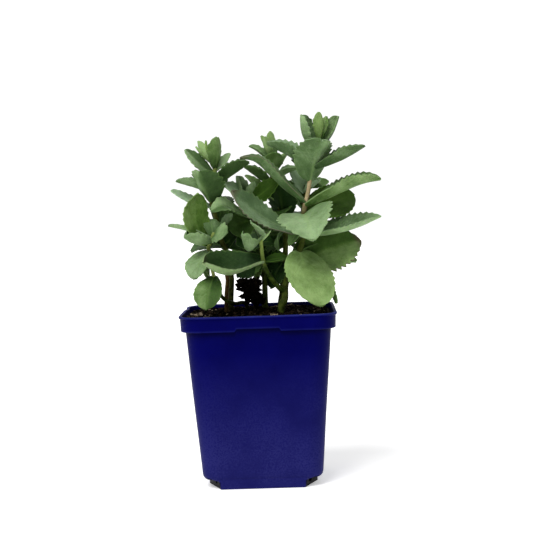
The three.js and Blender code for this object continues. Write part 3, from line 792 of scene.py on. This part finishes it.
def leafy_stem(name, route, radius, leaves, fresh_from=250, brown=0.2, pink=0.2, dry=None):
    """Rod and leaves as one piece. Above fresh_from the stem is young: green, or pink by that share.

    Below, it is olive, or brown by that share.
    """
    finishes = [dry] * 4 if dry else [UPPER, UNDER, MARGIN, STEM]
    line = smooth_route(route)
    rod = stem_tube(name, line, radius, {row[0] for row in leaves}, WITHERED_WAVE if dry else 0)
    for finish in finishes:
        rod.data.materials.append(finish)
    rod.data.polygons.foreach_set("material_index", [3] * len(rod.data.polygons))
    rod.data.uv_layers.new(name="UVMap")
    heights = [vertex.co.z / MM for vertex in rod.data.vertices]
    give_numbers(rod.data, "tone", [min(max((z - fresh_from) / FRESHENING, 0), 1) for z in heights])
    give_numbers(rod.data, "warm", [brown] * len(heights))
    give_numbers(rod.data, "flush", [pink] * len(heights))
    give_numbers(rod.data, "lean", [0] * len(heights))
    choose(*[leaf(line, row, finishes, dry) for row in leaves], rod)
    bpy.ops.object.join()
    bpy.ops.object.shade_smooth_by_angle(angle=math.radians(50))
    return rod


VEINS = 26.0  # ribs along a leaf
VEIN_SLANT = 30.0  # how far they run towards the tip on their way to the margin
PATCHINESS = 0.12  # how far soft patches lift or sink a leaf's tone
SCURF = 0.06  # how far the fine grain of its bloom does
SWELLING = 0.05  # how far the swellings between its veins do
DEEP_COOL = (0.01, 0.032, 0.01, 1)
DEEP_WARM = (0.008, 0.03, 0.001, 1)
FULL_COOL = (0.09, 0.15, 0.07, 1)
FULL_WARM = (0.08, 0.16, 0.02, 1)
PALE_COOL = (0.28, 0.4, 0.24, 1)
PALE_WARM = (0.28, 0.42, 0.12, 1)
FLECK = (0.07, 0.075, 0.025, 1)
SUNBURNT = (0.1, 0.055, 0.05, 1)
PURPLE_EDGE = (0.09, 0.035, 0.045, 1)
OLIVE = (0.012, 0.026, 0.002, 1), (0.055, 0.09, 0.01, 1)  # a stem's skin, plain and in its streaks
BROWN = (0.05, 0.025, 0.006, 1), (0.17, 0.1, 0.035, 1)
YOUNG_GREEN = (0.16, 0.24, 0.05, 1), (0.3, 0.38, 0.1, 1)
ROSY = (0.3, 0.22, 0.12, 1), (0.52, 0.4, 0.25, 1)


def own_numbers(add):
    """The tone, shifted by the painted half light, and the warmth and flush of every leaf and stem."""
    names = ("tone", "lean", "warm", "flush")
    tone, lean, warm, flush = (add("Attribute", {"attribute_name": name}).outputs["Fac"] for name in names)
    return calc(add, "ADD", tone, lean, clamp=True), warm, flush


def on_leaf(add):
    """Where it is on the leaf: across, from 0 at the midrib to 0.5, and along, from 0 at the foot."""
    flat = add("SeparateXYZ", Vector=add("UVMap", {"uv_map": "UVMap"}).outputs[0]).outputs
    return calc(add, "ABSOLUTE", calc(add, "SUBTRACT", flat["X"], 0.5)), flat["Y"]


def leaf_veins(add, across, along, tone, warm):
    """Fine ribs that leave the midrib slantwise for the tip, another pattern on every leaf."""
    slant = calc(add, "MULTIPLY_ADD", across, -VEIN_SLANT, times(add, along, VEINS))
    own = calc(add, "MULTIPLY_ADD", tone, 31.0, times(add, warm, 17.0))
    return spots(add, add("CombineXYZ", X=slant, Y=times(add, across, 3.0), Z=own).outputs[0], 1.0, 3, 0.6)


def leaf_green(add, tone, warm):
    """From deep green over a full green to bloomed, and from bluish to yellowish."""
    deep = blend_colours(add, warm, DEEP_COOL, DEEP_WARM)
    full = blend_colours(add, warm, FULL_COOL, FULL_WARM)
    pale = blend_colours(add, warm, PALE_COOL, PALE_WARM)
    lower = blend_colours(add, between(add, tone, 0, 0.5), deep, full)
    return blend_colours(add, between(add, tone, 0.5, 1), lower, pale)


def own_tone(add, along, tone, patches, scurf, puckers, veins):
    """The leaf's tone, darker at its foot and uneven all over, but less so where it is dark."""
    swollen = between(add, puckers, 0.35, 0.65, -SWELLING, SWELLING)
    ribbed = between(add, veins, 0.35, 0.65, -SWELLING, SWELLING)
    paler = between(add, along, 0.0, 0.5, -0.16, 0.06)
    uneven = total(add, patches, scurf, swollen, ribbed, paler)
    return calc(add, "MULTIPLY_ADD", uneven, between(add, tone, 0.0, 0.5, 0.25, 1.0), tone, clamp=True)


def let_light_in(into_shader, weight, radius):
    """Fleshy tissue lets a little light through under its skin."""
    into_shader("Subsurface Weight", weight)
    into_shader("Subsurface Radius", radius)
    into_shader("Subsurface Scale", 1.2 * MM)


def leaf_face(name, roughness, warmer):
    """A leaf's face: its own green, pale midrib, painted highlight on the margin, flecks, purple where
    burnt.
    """
    material, add, into_shader = new_finish(name, roughness, 0.05)
    let_light_in(into_shader, 0.15, (0.35, 1.0, 0.15))
    place = add("TexCoord").outputs["Object"]
    across, along = on_leaf(add)
    tone, warm, flush = own_numbers(add)
    patches = between(add, spots(add, place, 70, 4, 0.5), 0.35, 0.65, -PATCHINESS, PATCHINESS)
    puckers = spots(add, place, 190, 3, 0.6)
    scurf = between(add, spots(add, place, 900, 3, 0.7), 0.3, 0.7, -SCURF, SCURF)
    veins = leaf_veins(add, across, along, tone, warm)
    own = own_tone(add, along, tone, patches, scurf, puckers, veins)
    tint = calc(add, "ADD", warm, warmer, clamp=True)
    pale = leaf_green(add, between(add, own, 0, 1, 0.36, 1.0), between(add, tint, 0, 1, 0.3, 1.0))
    midrib = times(add, between(add, across, 0.04, 0.01), between(add, along, 0.85, 0.1, 0.0, 0.9))
    colour = blend_colours(add, midrib, leaf_green(add, own, tint), pale)
    flecks = between(add, spots(add, place, 520, 2), 0.68, 0.78, 0.0, 0.3)
    colour = blend_colours(add, flecks, colour, FLECK)
    # Painted highlight: a pale band along the margin, where a rounded edge catches the light.
    colour = blend_colours(add, between(add, across, 0.45, 0.485, 0.0, 0.7), colour, pale)
    burnt = calc(add, "MAXIMUM", between(add, across, 0.47, 0.5, 0.0, 0.5), between(add, along, 0.9, 0.98))
    into_shader("Base Color", blend_colours(add, times(add, burnt, flush), colour, SUNBURNT))
    rough = between(add, patches, -PATCHINESS, PATCHINESS, roughness - 0.06, roughness + 0.1)
    into_shader("Roughness", rough)
    skin = spots(add, place, 1400, 2)
    bumps(add, into_shader, (0.35, 0.7 * MM, veins), (0.5, 1.6 * MM, puckers), (0.3, 0.3 * MM, skin))
    return material


def leaf_margin():
    """The thin rounded edge, a painted highlight paler than the face, purple where teeth caught the sun."""
    material, add, into_shader = new_finish("leaf_margin", 0.5, 0.05)
    place = add("TexCoord").outputs["Object"]
    tone, warm, flush = own_numbers(add)
    patches = between(add, spots(add, place, 200, 3), 0.3, 0.7, -0.1, 0.1)
    # Painted highlight: the edge's tone is lifted towards pale.
    paler = calc(add, "ADD", between(add, tone, 0, 1, 0.3, 1.0), patches, clamp=True)
    into_shader("Base Color", blend_colours(add, flush, leaf_green(add, paler, warm), PURPLE_EDGE))
    return material


def stem_skin():
    """Fleshy stem: olive and streaked with brown below, paler and tinged with pink higher up."""
    material, add, into_shader = new_finish("stem_skin", 0.5, 0.05)
    let_light_in(into_shader, 0.12, (0.5, 1.0, 0.2))
    place = add("TexCoord").outputs["Object"]
    tone, warm, flush = own_numbers(add)
    streaks = between(add, spots(add, place, 240, 4), 0.35, 0.7)
    olive, brown, green, rosy = (
        blend_colours(add, streaks, *pair) for pair in (OLIVE, BROWN, YOUNG_GREEN, ROSY))
    low = blend_colours(add, warm, olive, brown)
    high = blend_colours(add, flush, green, rosy)
    into_shader("Base Color", blend_colours(add, tone, low, high))
    bumps(add, into_shader, (0.5, 0.6 * MM, spots(add, place, 500, 3)))
    return material


UPPER = leaf_face("leaf_upper", 0.5, 0.0)
UNDER = leaf_face("leaf_under", 0.55, 0.12)
MARGIN = leaf_margin()
STEM = stem_skin()


def dress(piece, node):
    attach(piece, "root")
    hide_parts(node)


tall = leafy_stem("tall_stem", TALL_ROUTE, TALL_RADIUS, TALL_LEAVES, fresh_from=196, brown=0.1, pink=0.9)
side = leafy_stem("side_shoot", SIDE_ROUTE, SIDE_RADIUS, SIDE_LEAVES, fresh_from=160, brown=0, pink=0)
choose(side, tall)
bpy.ops.object.join()
dress(tall, "stem_right_tall")

# Middle stem
# A slimmer shoot behind the tall one, with a small bud of young leaves on top. It grows from the
# same root as all the others, and stands in the soil by its buried end.

MIDDLE_ROUTE = [
    (18, 19, ROOT_END), (18, 19, 133), (20, 18, 154), (22, 17, 178), (19, 17, 200), (14, 17, 216),
    (13, 16, 232), (13, 16, 248), (13, 16, 253),
]
MIDDLE_RADIUS = (2.8, 1.3)
MIDDLE_LEAVES = [
    (238, (-3, 14, 251), 9, 1, -30, 35, dict(tone=0.7, under=0.45, warm=0.4, power=1.5, blunt=0.8)),
    (232, (25, 18, 244), 7, 0, -60, 20, dict(tone=0.8, warm=0.4)),
    (236, (11, 27, 251), 12, 1, 0, 20, dict(tone=0.35, warm=0.5)),
    (229, (16, 7, 245), 17, 0, 0, 15, dict(tone=0.43, warm=0.5, halves=0.08)),
    (219, (-7, 14, 235), 20, 0, -5, 42, dict(tone=0.2, under=0.28, warm=0.45)),
    (221, (33, 13, 233), 18, 2, 10, 30, dict(tone=0.58, warm=0.3)),
    (247, (13, 14, 261), 7, -1, 0, 20, dict(tone=0.88)),
    (247, (6, 15, 258), 5, 0, 60, 25, dict(tone=0.75)),
    (199, (16, -5, 196), 20, 3, 0, 20, dict(tone=0.1)),
    (187, (44, 13, 184), 20, 3, 20, 14, dict(tone=0.1)),
    (186, (16, -2, 171), 7, 3, 60, 20, dict(tone=0.35, warm=0.4)),
    (187, (4, 19, 188), 16, 3, -20, 14, dict(tone=0.1)),
    (166, (10, 5, 162), 11, 2, -40, 20, dict(tone=0, warm=0.8)),
    (241, (9, 11, 257), 8, -1, 0, 20, dict(tone=0.85, warm=0.5, halves=-0.12)),
    (208, (-7, 24, 229), 12, -1, -20, 30, dict(tone=0.52)),
    (190, (18, 6, 221), 24, 3, 0, 25, dict(tone=0, warm=0.5)),
    (163, (9, 12, 142), 22, 2, -30, 15, dict(tone=0.02, warm=0.5)),
    (150, (11, 10, 147), 14, 2, -40, 15, dict(tone=0, warm=0.5)),
]

middle = leafy_stem(
    "middle_stem", MIDDLE_ROUTE, MIDDLE_RADIUS, MIDDLE_LEAVES, fresh_from=225, brown=0.1, pink=0)
dress(middle, "stem_middle")

# Left stem
# A fleshy shoot that leans out to the left under a dense rosette. Its leaves shade each other, and
# the lower and inner ones are also given a dark tone as painted shade.

LEFT_ROUTE = [
    (-21, 6, ROOT_END), (-21, 6, 132), (-20, 6, 152), (-23, 5, 171), (-26, 4, 178), (-28, 4, 189),
    (-31, 3, 201), (-33, 2, 210), (-31, 2, 222), (-29.5, 2, 233), (-32, 2, 239), (-35, 2, 245),
]
LEFT_RADIUS = (2.4, 1.3)
LEFT_LEAVES = [
    (234, (-27, -1, 257), 15, -1, 0, 30, dict(tone=0.45, under=0.6, warm=0.5, blunt=0.5, halves=0.1)),
    (228, (-51, 0, 249), 12, -1, -50, 15, dict(tone=0.57, warm=0.3, blunt=0.4, halves=0.22)),
    (232, (-18, 4, 245), 9, -1, 40, 25, dict(tone=1, warm=0.3, halves=0.1)),
    (220, (-4, 1, 238), 24, 0, 5, 48, dict(tone=0.25, warm=0.35, blunt=0.4)),
    (209, (-40, -16, 232), 32, -2, -10, 35,
     dict(tone=0.4, under=0.44, warm=0.3, blunt=0.7, halves=-0.24)),
    (217, (-59, 3, 226), 17, 0, 0, 42, dict(tone=0.55, warm=0.2, power=1.5)),
    (205, (-63, 6, 219), 10, -2, -30, 20, dict(tone=1, warm=0, blunt=0.8)),
    (211, (-30, 28, 226), 22, 3, 0, 20, dict(tone=0.1)),
    (240, (-41, 2, 255), 8, -1, 60, 20, dict(tone=1, warm=0.5)),
    (243, (-35, 2, 255), 6, -1, 0, 20, dict(tone=0.6, warm=0.9)),
    (189, (-17, -5, 200), 6, 1, -50, 20, dict(tone=0.7, warm=0.1)),
    (190, (-23, 34, 213), 18, 4, 0, 15, dict(tone=0.2, warm=0.7)),
    (175, (-51, 14, 172), 22, 4, -30, 15, dict(tone=0.33, warm=0.2)),
    (173, (-27, 32, 189), 26, 4, 0, 15, dict(tone=0.05)),
    (163, (1, 24, 164), 22, 3, 75, 12, dict(tone=0.02)),
    (238, (-43, 4, 251), 6, -1, 20, 20, dict(tone=0.8)),
    (176, (-16, 20, 182), 26, 2, 60, 15, dict(tone=0.05, warm=0.7)),
]

left_stem = leafy_stem(
    "left_stem", LEFT_ROUTE, LEFT_RADIUS, LEFT_LEAVES, fresh_from=210, brown=0.2, pink=0.1)
dress(left_stem, "stem_left")

# Low left stem
# A short stem in front of the left one, turning brown and woody. It is bent outwards, and its upper
# leaves, some pale with a waxy bloom, reach out over the rim.

LOW_LEFT_ROUTE = [
    (-24, -3, ROOT_END), (-24, -3, 135), (-23, -4, 153), (-30, -7, 167), (-36, -9, 174),
    (-34, -10, 179), (-31, -11, 186),
]
LOW_LEFT_RADIUS = (1.8, 1.2)
LOW_LEFT_LEAVES = [
    (182, (-65, -8, 193), 11, 1, 0, 25, dict(tone=0.75, warm=0.3)),
    (179, (-52, -18, 184), 27, -3, -17, 52, dict(tone=0.5, under=0.7, warm=0.25, blunt=0.6)),
    (184, (-21, -26, 186), 16, 1, 55, 8, dict(tone=0.62, warm=0.35, blunt=1, teeth=1.5)),
    (183, (-34, -1, 196), 12, 2, 0, 15, dict(tone=0.45, warm=0.3, blunt=0.8)),
    (176, (-42, -3, 215), 25, 0, 0, 8,
     dict(tone=0.5, warm=0.85, sweep=8, widest=0.55, blunt=0.8, teeth=0.5, halves=0.08)),
    (173, (-46, -24, 153), 22, 3, 0, 12, dict(tone=0.7, under=0.6, warm=0.3, blunt=1, teeth=0.4)),
    (171, (-37, -7, 151), 13, 2, 0, 12, dict(tone=0.6, warm=0.4)),
]

low_left = leafy_stem(
    "low_left_stem", LOW_LEFT_ROUTE, LOW_LEFT_RADIUS, LOW_LEFT_LEAVES,
    fresh_from=166, brown=0.9, pink=0.1)
dress(low_left, "stem_left_low")

# Front left shoot
# A thin young shoot that creeps over the soil to the front left, rises there, and lets one
# spoon-shaped leaf hang from its top.

FRONT_LEFT_ROUTE = [
    (-9, 8, ROOT_END), (-9, 8, 129), (-18, -3, 132), (-25, -11, 136), (-29, -15, 143),
    (-32, -18, 154), (-33, -19, 160),
]
FRONT_LEFT_RADIUS = (1.7, 1.2)
FRONT_LEFT_LEAVES = [
    (154, (-37, -39, 131), 22, 3, 0, 16,
     dict(tone=0.35, under=0.4, widest=0.64, blunt=1, teeth=0.3, halves=-0.15)),
    (159, (-27, -17, 166), 6, 1, 0, 15, dict(tone=0.5)),
    (160, (-26, -23, 165), 5, 0, 0, 15, dict(tone=0.5)),
]

front_left = leafy_stem(
    "front_left_shoot", FRONT_LEFT_ROUTE, FRONT_LEFT_RADIUS, FRONT_LEFT_LEAVES,
    fresh_from=138, brown=0.1, pink=0.2)
dress(front_left, "shoot_front_left")

# Back right stem
# A leafy shoot that stands furthest back. Its leaves spread behind the others and reach past them
# at the right.

BACK_RIGHT_ROUTE = [
    (17, 30, ROOT_END), (17, 30, 131), (25, 29, 154), (33, 28, 177), (37, 27, 208), (39, 27, 219),
]
BACK_RIGHT_RADIUS = (2.6, 1.3)
BACK_RIGHT_LEAVES = [
    (214, (28, 20, 231), 17, 1, -70, 15, dict(tone=0.7, warm=0, blunt=0.8)),
    (218, (57, 30, 222), 9, 1, 60, 15, dict(tone=0.5, warm=0.5)),
    (214, (50, 18, 224), 13, 0, 0, 15, dict(tone=0.75, warm=0, blunt=0.8)),
    (212, (37, 50, 225), 18, 3, 0, 20, dict(tone=0.2, warm=0.5)),
    (205, (15, 31, 223), 16, 2, -60, 15, dict(tone=0.2)),
    (202, (22, 27, 219), 18, 2, -50, 30, dict(tone=0.6, under=0.65, warm=0.1)),
    (205, (72, 33, 212), 20, 2, 40, 15, dict(tone=0.2, warm=0.8)),
    (190, (31, 69, 197), 26, 5, 0, 15, dict(tone=0.1, warm=0.5)),
    (165, (76, 22, 160), 22, 2, 30, 12, dict(tone=0.6)),
    (180, (-9, 31, 182), 28, 4, -72, 12, dict(tone=0.32, warm=0.5, halves=-0.22)),
    (160, (-11, 30, 160), 24, 3, -72, 12, dict(tone=0.08)),
]

back_right = leafy_stem(
    "back_right_stem", BACK_RIGHT_ROUTE, BACK_RIGHT_RADIUS, BACK_RIGHT_LEAVES,
    fresh_from=225, brown=0.1, pink=0)
dress(back_right, "stem_back_right")

# Centre stem
# A fleshy shoot behind the side shoot of the tall stem. It fills the middle of the plant with dark
# leaves, their tone set low as painted shade, and ends in a few curled pale ones.

CENTRE_ROUTE = [
    (5, 8, ROOT_END), (5, 8, 131), (5, 8, 150), (3, 9, 172), (0, 9, 190), (-5, 9, 203), (-7, 9, 211),
]
CENTRE_RADIUS = (2.6, 1.3)
CENTRE_LEAVES = [
    (199, (-13, 14, 228), 21, -4, -7, 56, dict(tone=0.6, under=1, warm=0.3, widest=0.5, blunt=0.9)),
    (202, (-23, -1, 222), 23, 2, -38, 15, dict(tone=0.88, warm=0.1, halves=-0.08)),
    (206, (18, -4, 223), 16, 0, 70, 10, dict(tone=0.15, warm=0.95, blunt=0.3)),
    (210, (0, 8, 223), 7, 0, -80, 10, dict(tone=0.7, warm=0.2)),
    (197, (-33, -12, 202), 19, 6, -35, 20,
     dict(tone=0.6, warm=0.4, power=2.4, widest=0.68, blunt=0.9, halves=-0.2)),
    (198, (-5, 27, 217), 20, 3, 0, 12, dict(tone=0.1)),
    (194, (-21, 5, 188), 28, 3, -60, 10, dict(tone=0.17, under=0.15, warm=0.7)),
    (176, (-15, 0, 176), 22, 3, -45, 15, dict(tone=0)),
    (176, (13, 10, 176), 12, 2, 45, 15, dict(tone=0)),
    (171, (2, 15, 173), 18, 3, 0, 15, dict(tone=0.02)),
    (163, (-6, 3, 151), 12, 2, -20, 10, dict(tone=0.3)),
    (160, (-2, 4, 142), 9, 1, 10, 15, dict(tone=0.5, warm=0.9, teeth=2)),
    (162, (-16, 2, 152), 14, 2, -60, 12, dict(tone=0, warm=0.4)),
]

centre = leafy_stem(
    "centre_stem", CENTRE_ROUTE, CENTRE_RADIUS, CENTRE_LEAVES, fresh_from=225, brown=0.1, pink=0)
dress(centre, "stem_centre")

# Dead shoot
# A shoot that died back: a thin dry stick with shrivelled, nearly black leaves hanging from it,
# crumpled and torn at their edges.

DEAD_ROUTE = [
    (-1, -4, ROOT_END), (-1, -4, 129), (-3, -3, 137), (-6, -3, 145), (-6, -3.5, 150),
]
DEAD_RADIUS = (1.7, 1.1)
DEAD_LEAVES = [
    (149, (-14, -6, 142), 9, 3, 0, 25, {}),
    (149, (-1, -9, 143), 10, 3, 0, 25, {}),
    (148, (-10, -9, 136), 9, 2, 20, 25, {}),
    (147, (-5, -8, 135), 10, 2, -20, 30, {}),
    (146, (-12, -3, 144), 8, 2, 0, 30, {}),
    (144, (-1, -1, 136), 9, 2, 0, 30, {}),
    (141, (-8, -10, 132), 8, 2, 30, 30, {}),
    (138, (-2, -8, 130), 9, 2, 0, 30, {}),
    (136, (3, -2, 131), 8, 2, 0, 30, {}),
]
WITHERED_DARK = (0.0015, 0.0013, 0.001, 1)
WITHERED_BROWN = (0.012, 0.008, 0.005, 1)


def withered():
    material, add, into_shader = new_finish("withered_leaf", 0.9, 0.02)
    place = add("TexCoord").outputs["Object"]
    patches = between(add, spots(add, place, 300, 4), 0.4, 0.75)
    into_shader("Base Color", blend_colours(add, patches, WITHERED_DARK, WITHERED_BROWN))
    bumps(add, into_shader, (0.9, 1 * MM, spots(add, place, 600, 4)))
    return material


dead = leafy_stem("dead_shoot", DEAD_ROUTE, DEAD_RADIUS, DEAD_LEAVES, dry=withered())
dress(dead, "shoot_dead")

# Studio
# A pale floor under a white sky, soft light from above in front at the left and from behind, and
# the camera, which stands a little under a metre away and level with the upper leaves.

FLOOR_HALF = 6.0
FLOOR_DROP = 0.2 * MM  # below the pot's foot
FLOOR_GLOW = 0.4
SKY_SEEN = 1.05
SKY_LIGHT = 0.28
KEY_FROM = (-0.4, -0.55, 1.0)
KEY_STRENGTH = 2.8
KEY_SPREAD = 35  # degrees
BACK_FROM = (0.25, 0.9, 0.9)
BACK_STRENGTH = 1.1
BACK_SPREAD = 60
CAMERA_PLACE = Vector((19.79, -950.32, 208.66)) * MM
CAMERA_PITCH = math.radians(2.996)  # down
CAMERA_ROLL = math.radians(1.882)
CAMERA_YAW = math.radians(0.772)
CAMERA_LENS = 85.285  # mm, for a sensor 36 mm wide


def studio_floor():
    choose()
    bpy.ops.mesh.primitive_plane_add(size=2 * FLOOR_HALF, location=(0, 0, -FLOOR_DROP))
    floor = bpy.context.object
    floor.name = "studio_floor"
    settle(floor)
    material, add, into_shader = new_finish("floor_paper", 0.9, 0.1)
    tint = spots(add, add("TexCoord").outputs["Object"], 3, 2)
    into_shader("Base Color", blend_colours(add, tint, (0.9, 0.9, 0.9, 1), (0.92, 0.92, 0.92, 1)))
    into_shader("Emission Color", (1, 1, 1, 1))
    into_shader("Emission Strength", FLOOR_GLOW)
    floor.data.materials.append(material)


def soft_sun(name, source, strength, spread):
    """Even light from one side, soft because it comes from a wide patch of sky."""
    light = bpy.data.lights.new(name, "SUN")
    light.energy = strength
    light.angle = math.radians(spread)
    lamp = bpy.data.objects.new(name, light)
    bpy.context.scene.collection.objects.link(lamp)
    lamp.rotation_euler = Vector(source).to_track_quat("Z", "Y").to_euler()


def sky():
    """White to the eye, dimmer as a light."""
    world = bpy.data.worlds.new("studio")
    bpy.context.scene.world = world
    world.use_nodes = True
    nodes = world.node_tree.nodes
    links = world.node_tree.links
    seen = nodes.new("ShaderNodeBackground")
    seen.inputs["Color"].default_value = (1, 1, 1, 1)
    seen.inputs["Strength"].default_value = SKY_SEEN
    lit = nodes["Background"]
    lit.inputs["Color"].default_value = (1, 1, 0.99, 1)
    lit.inputs["Strength"].default_value = SKY_LIGHT
    path = nodes.new("ShaderNodeLightPath")
    either = nodes.new("ShaderNodeMixShader")
    links.new(path.outputs["Is Camera Ray"], either.inputs[0])
    links.new(lit.outputs[0], either.inputs[1])
    links.new(seen.outputs[0], either.inputs[2])
    links.new(either.outputs[0], nodes["World Output"].inputs["Surface"])


def camera():
    level = math.cos(CAMERA_PITCH)
    forward = Vector((-math.sin(CAMERA_YAW) * level, math.cos(CAMERA_YAW) * level, -math.sin(CAMERA_PITCH)))
    right = Vector((math.cos(CAMERA_YAW), math.sin(CAMERA_YAW), 0))
    up = right.cross(forward)
    rolled_right = right * math.cos(CAMERA_ROLL) - up * math.sin(CAMERA_ROLL)
    rolled_up = up * math.cos(CAMERA_ROLL) + right * math.sin(CAMERA_ROLL)
    data = bpy.data.cameras.new("camera")
    data.lens = CAMERA_LENS
    data.sensor_width = 36
    data.clip_start = 0.01
    eye = bpy.data.objects.new("camera", data)
    bpy.context.scene.collection.objects.link(eye)
    turn = Matrix((rolled_right, rolled_up, -forward)).transposed().to_4x4()
    eye.matrix_world = Matrix.Translation(CAMERA_PLACE) @ turn
    bpy.context.scene.camera = eye


studio_floor()
sky()
soft_sun("key_light", KEY_FROM, KEY_STRENGTH, KEY_SPREAD)
soft_sun("back_light", BACK_FROM, BACK_STRENGTH, BACK_SPREAD)
camera()
bpy.context.scene.view_settings.view_transform = "Standard"
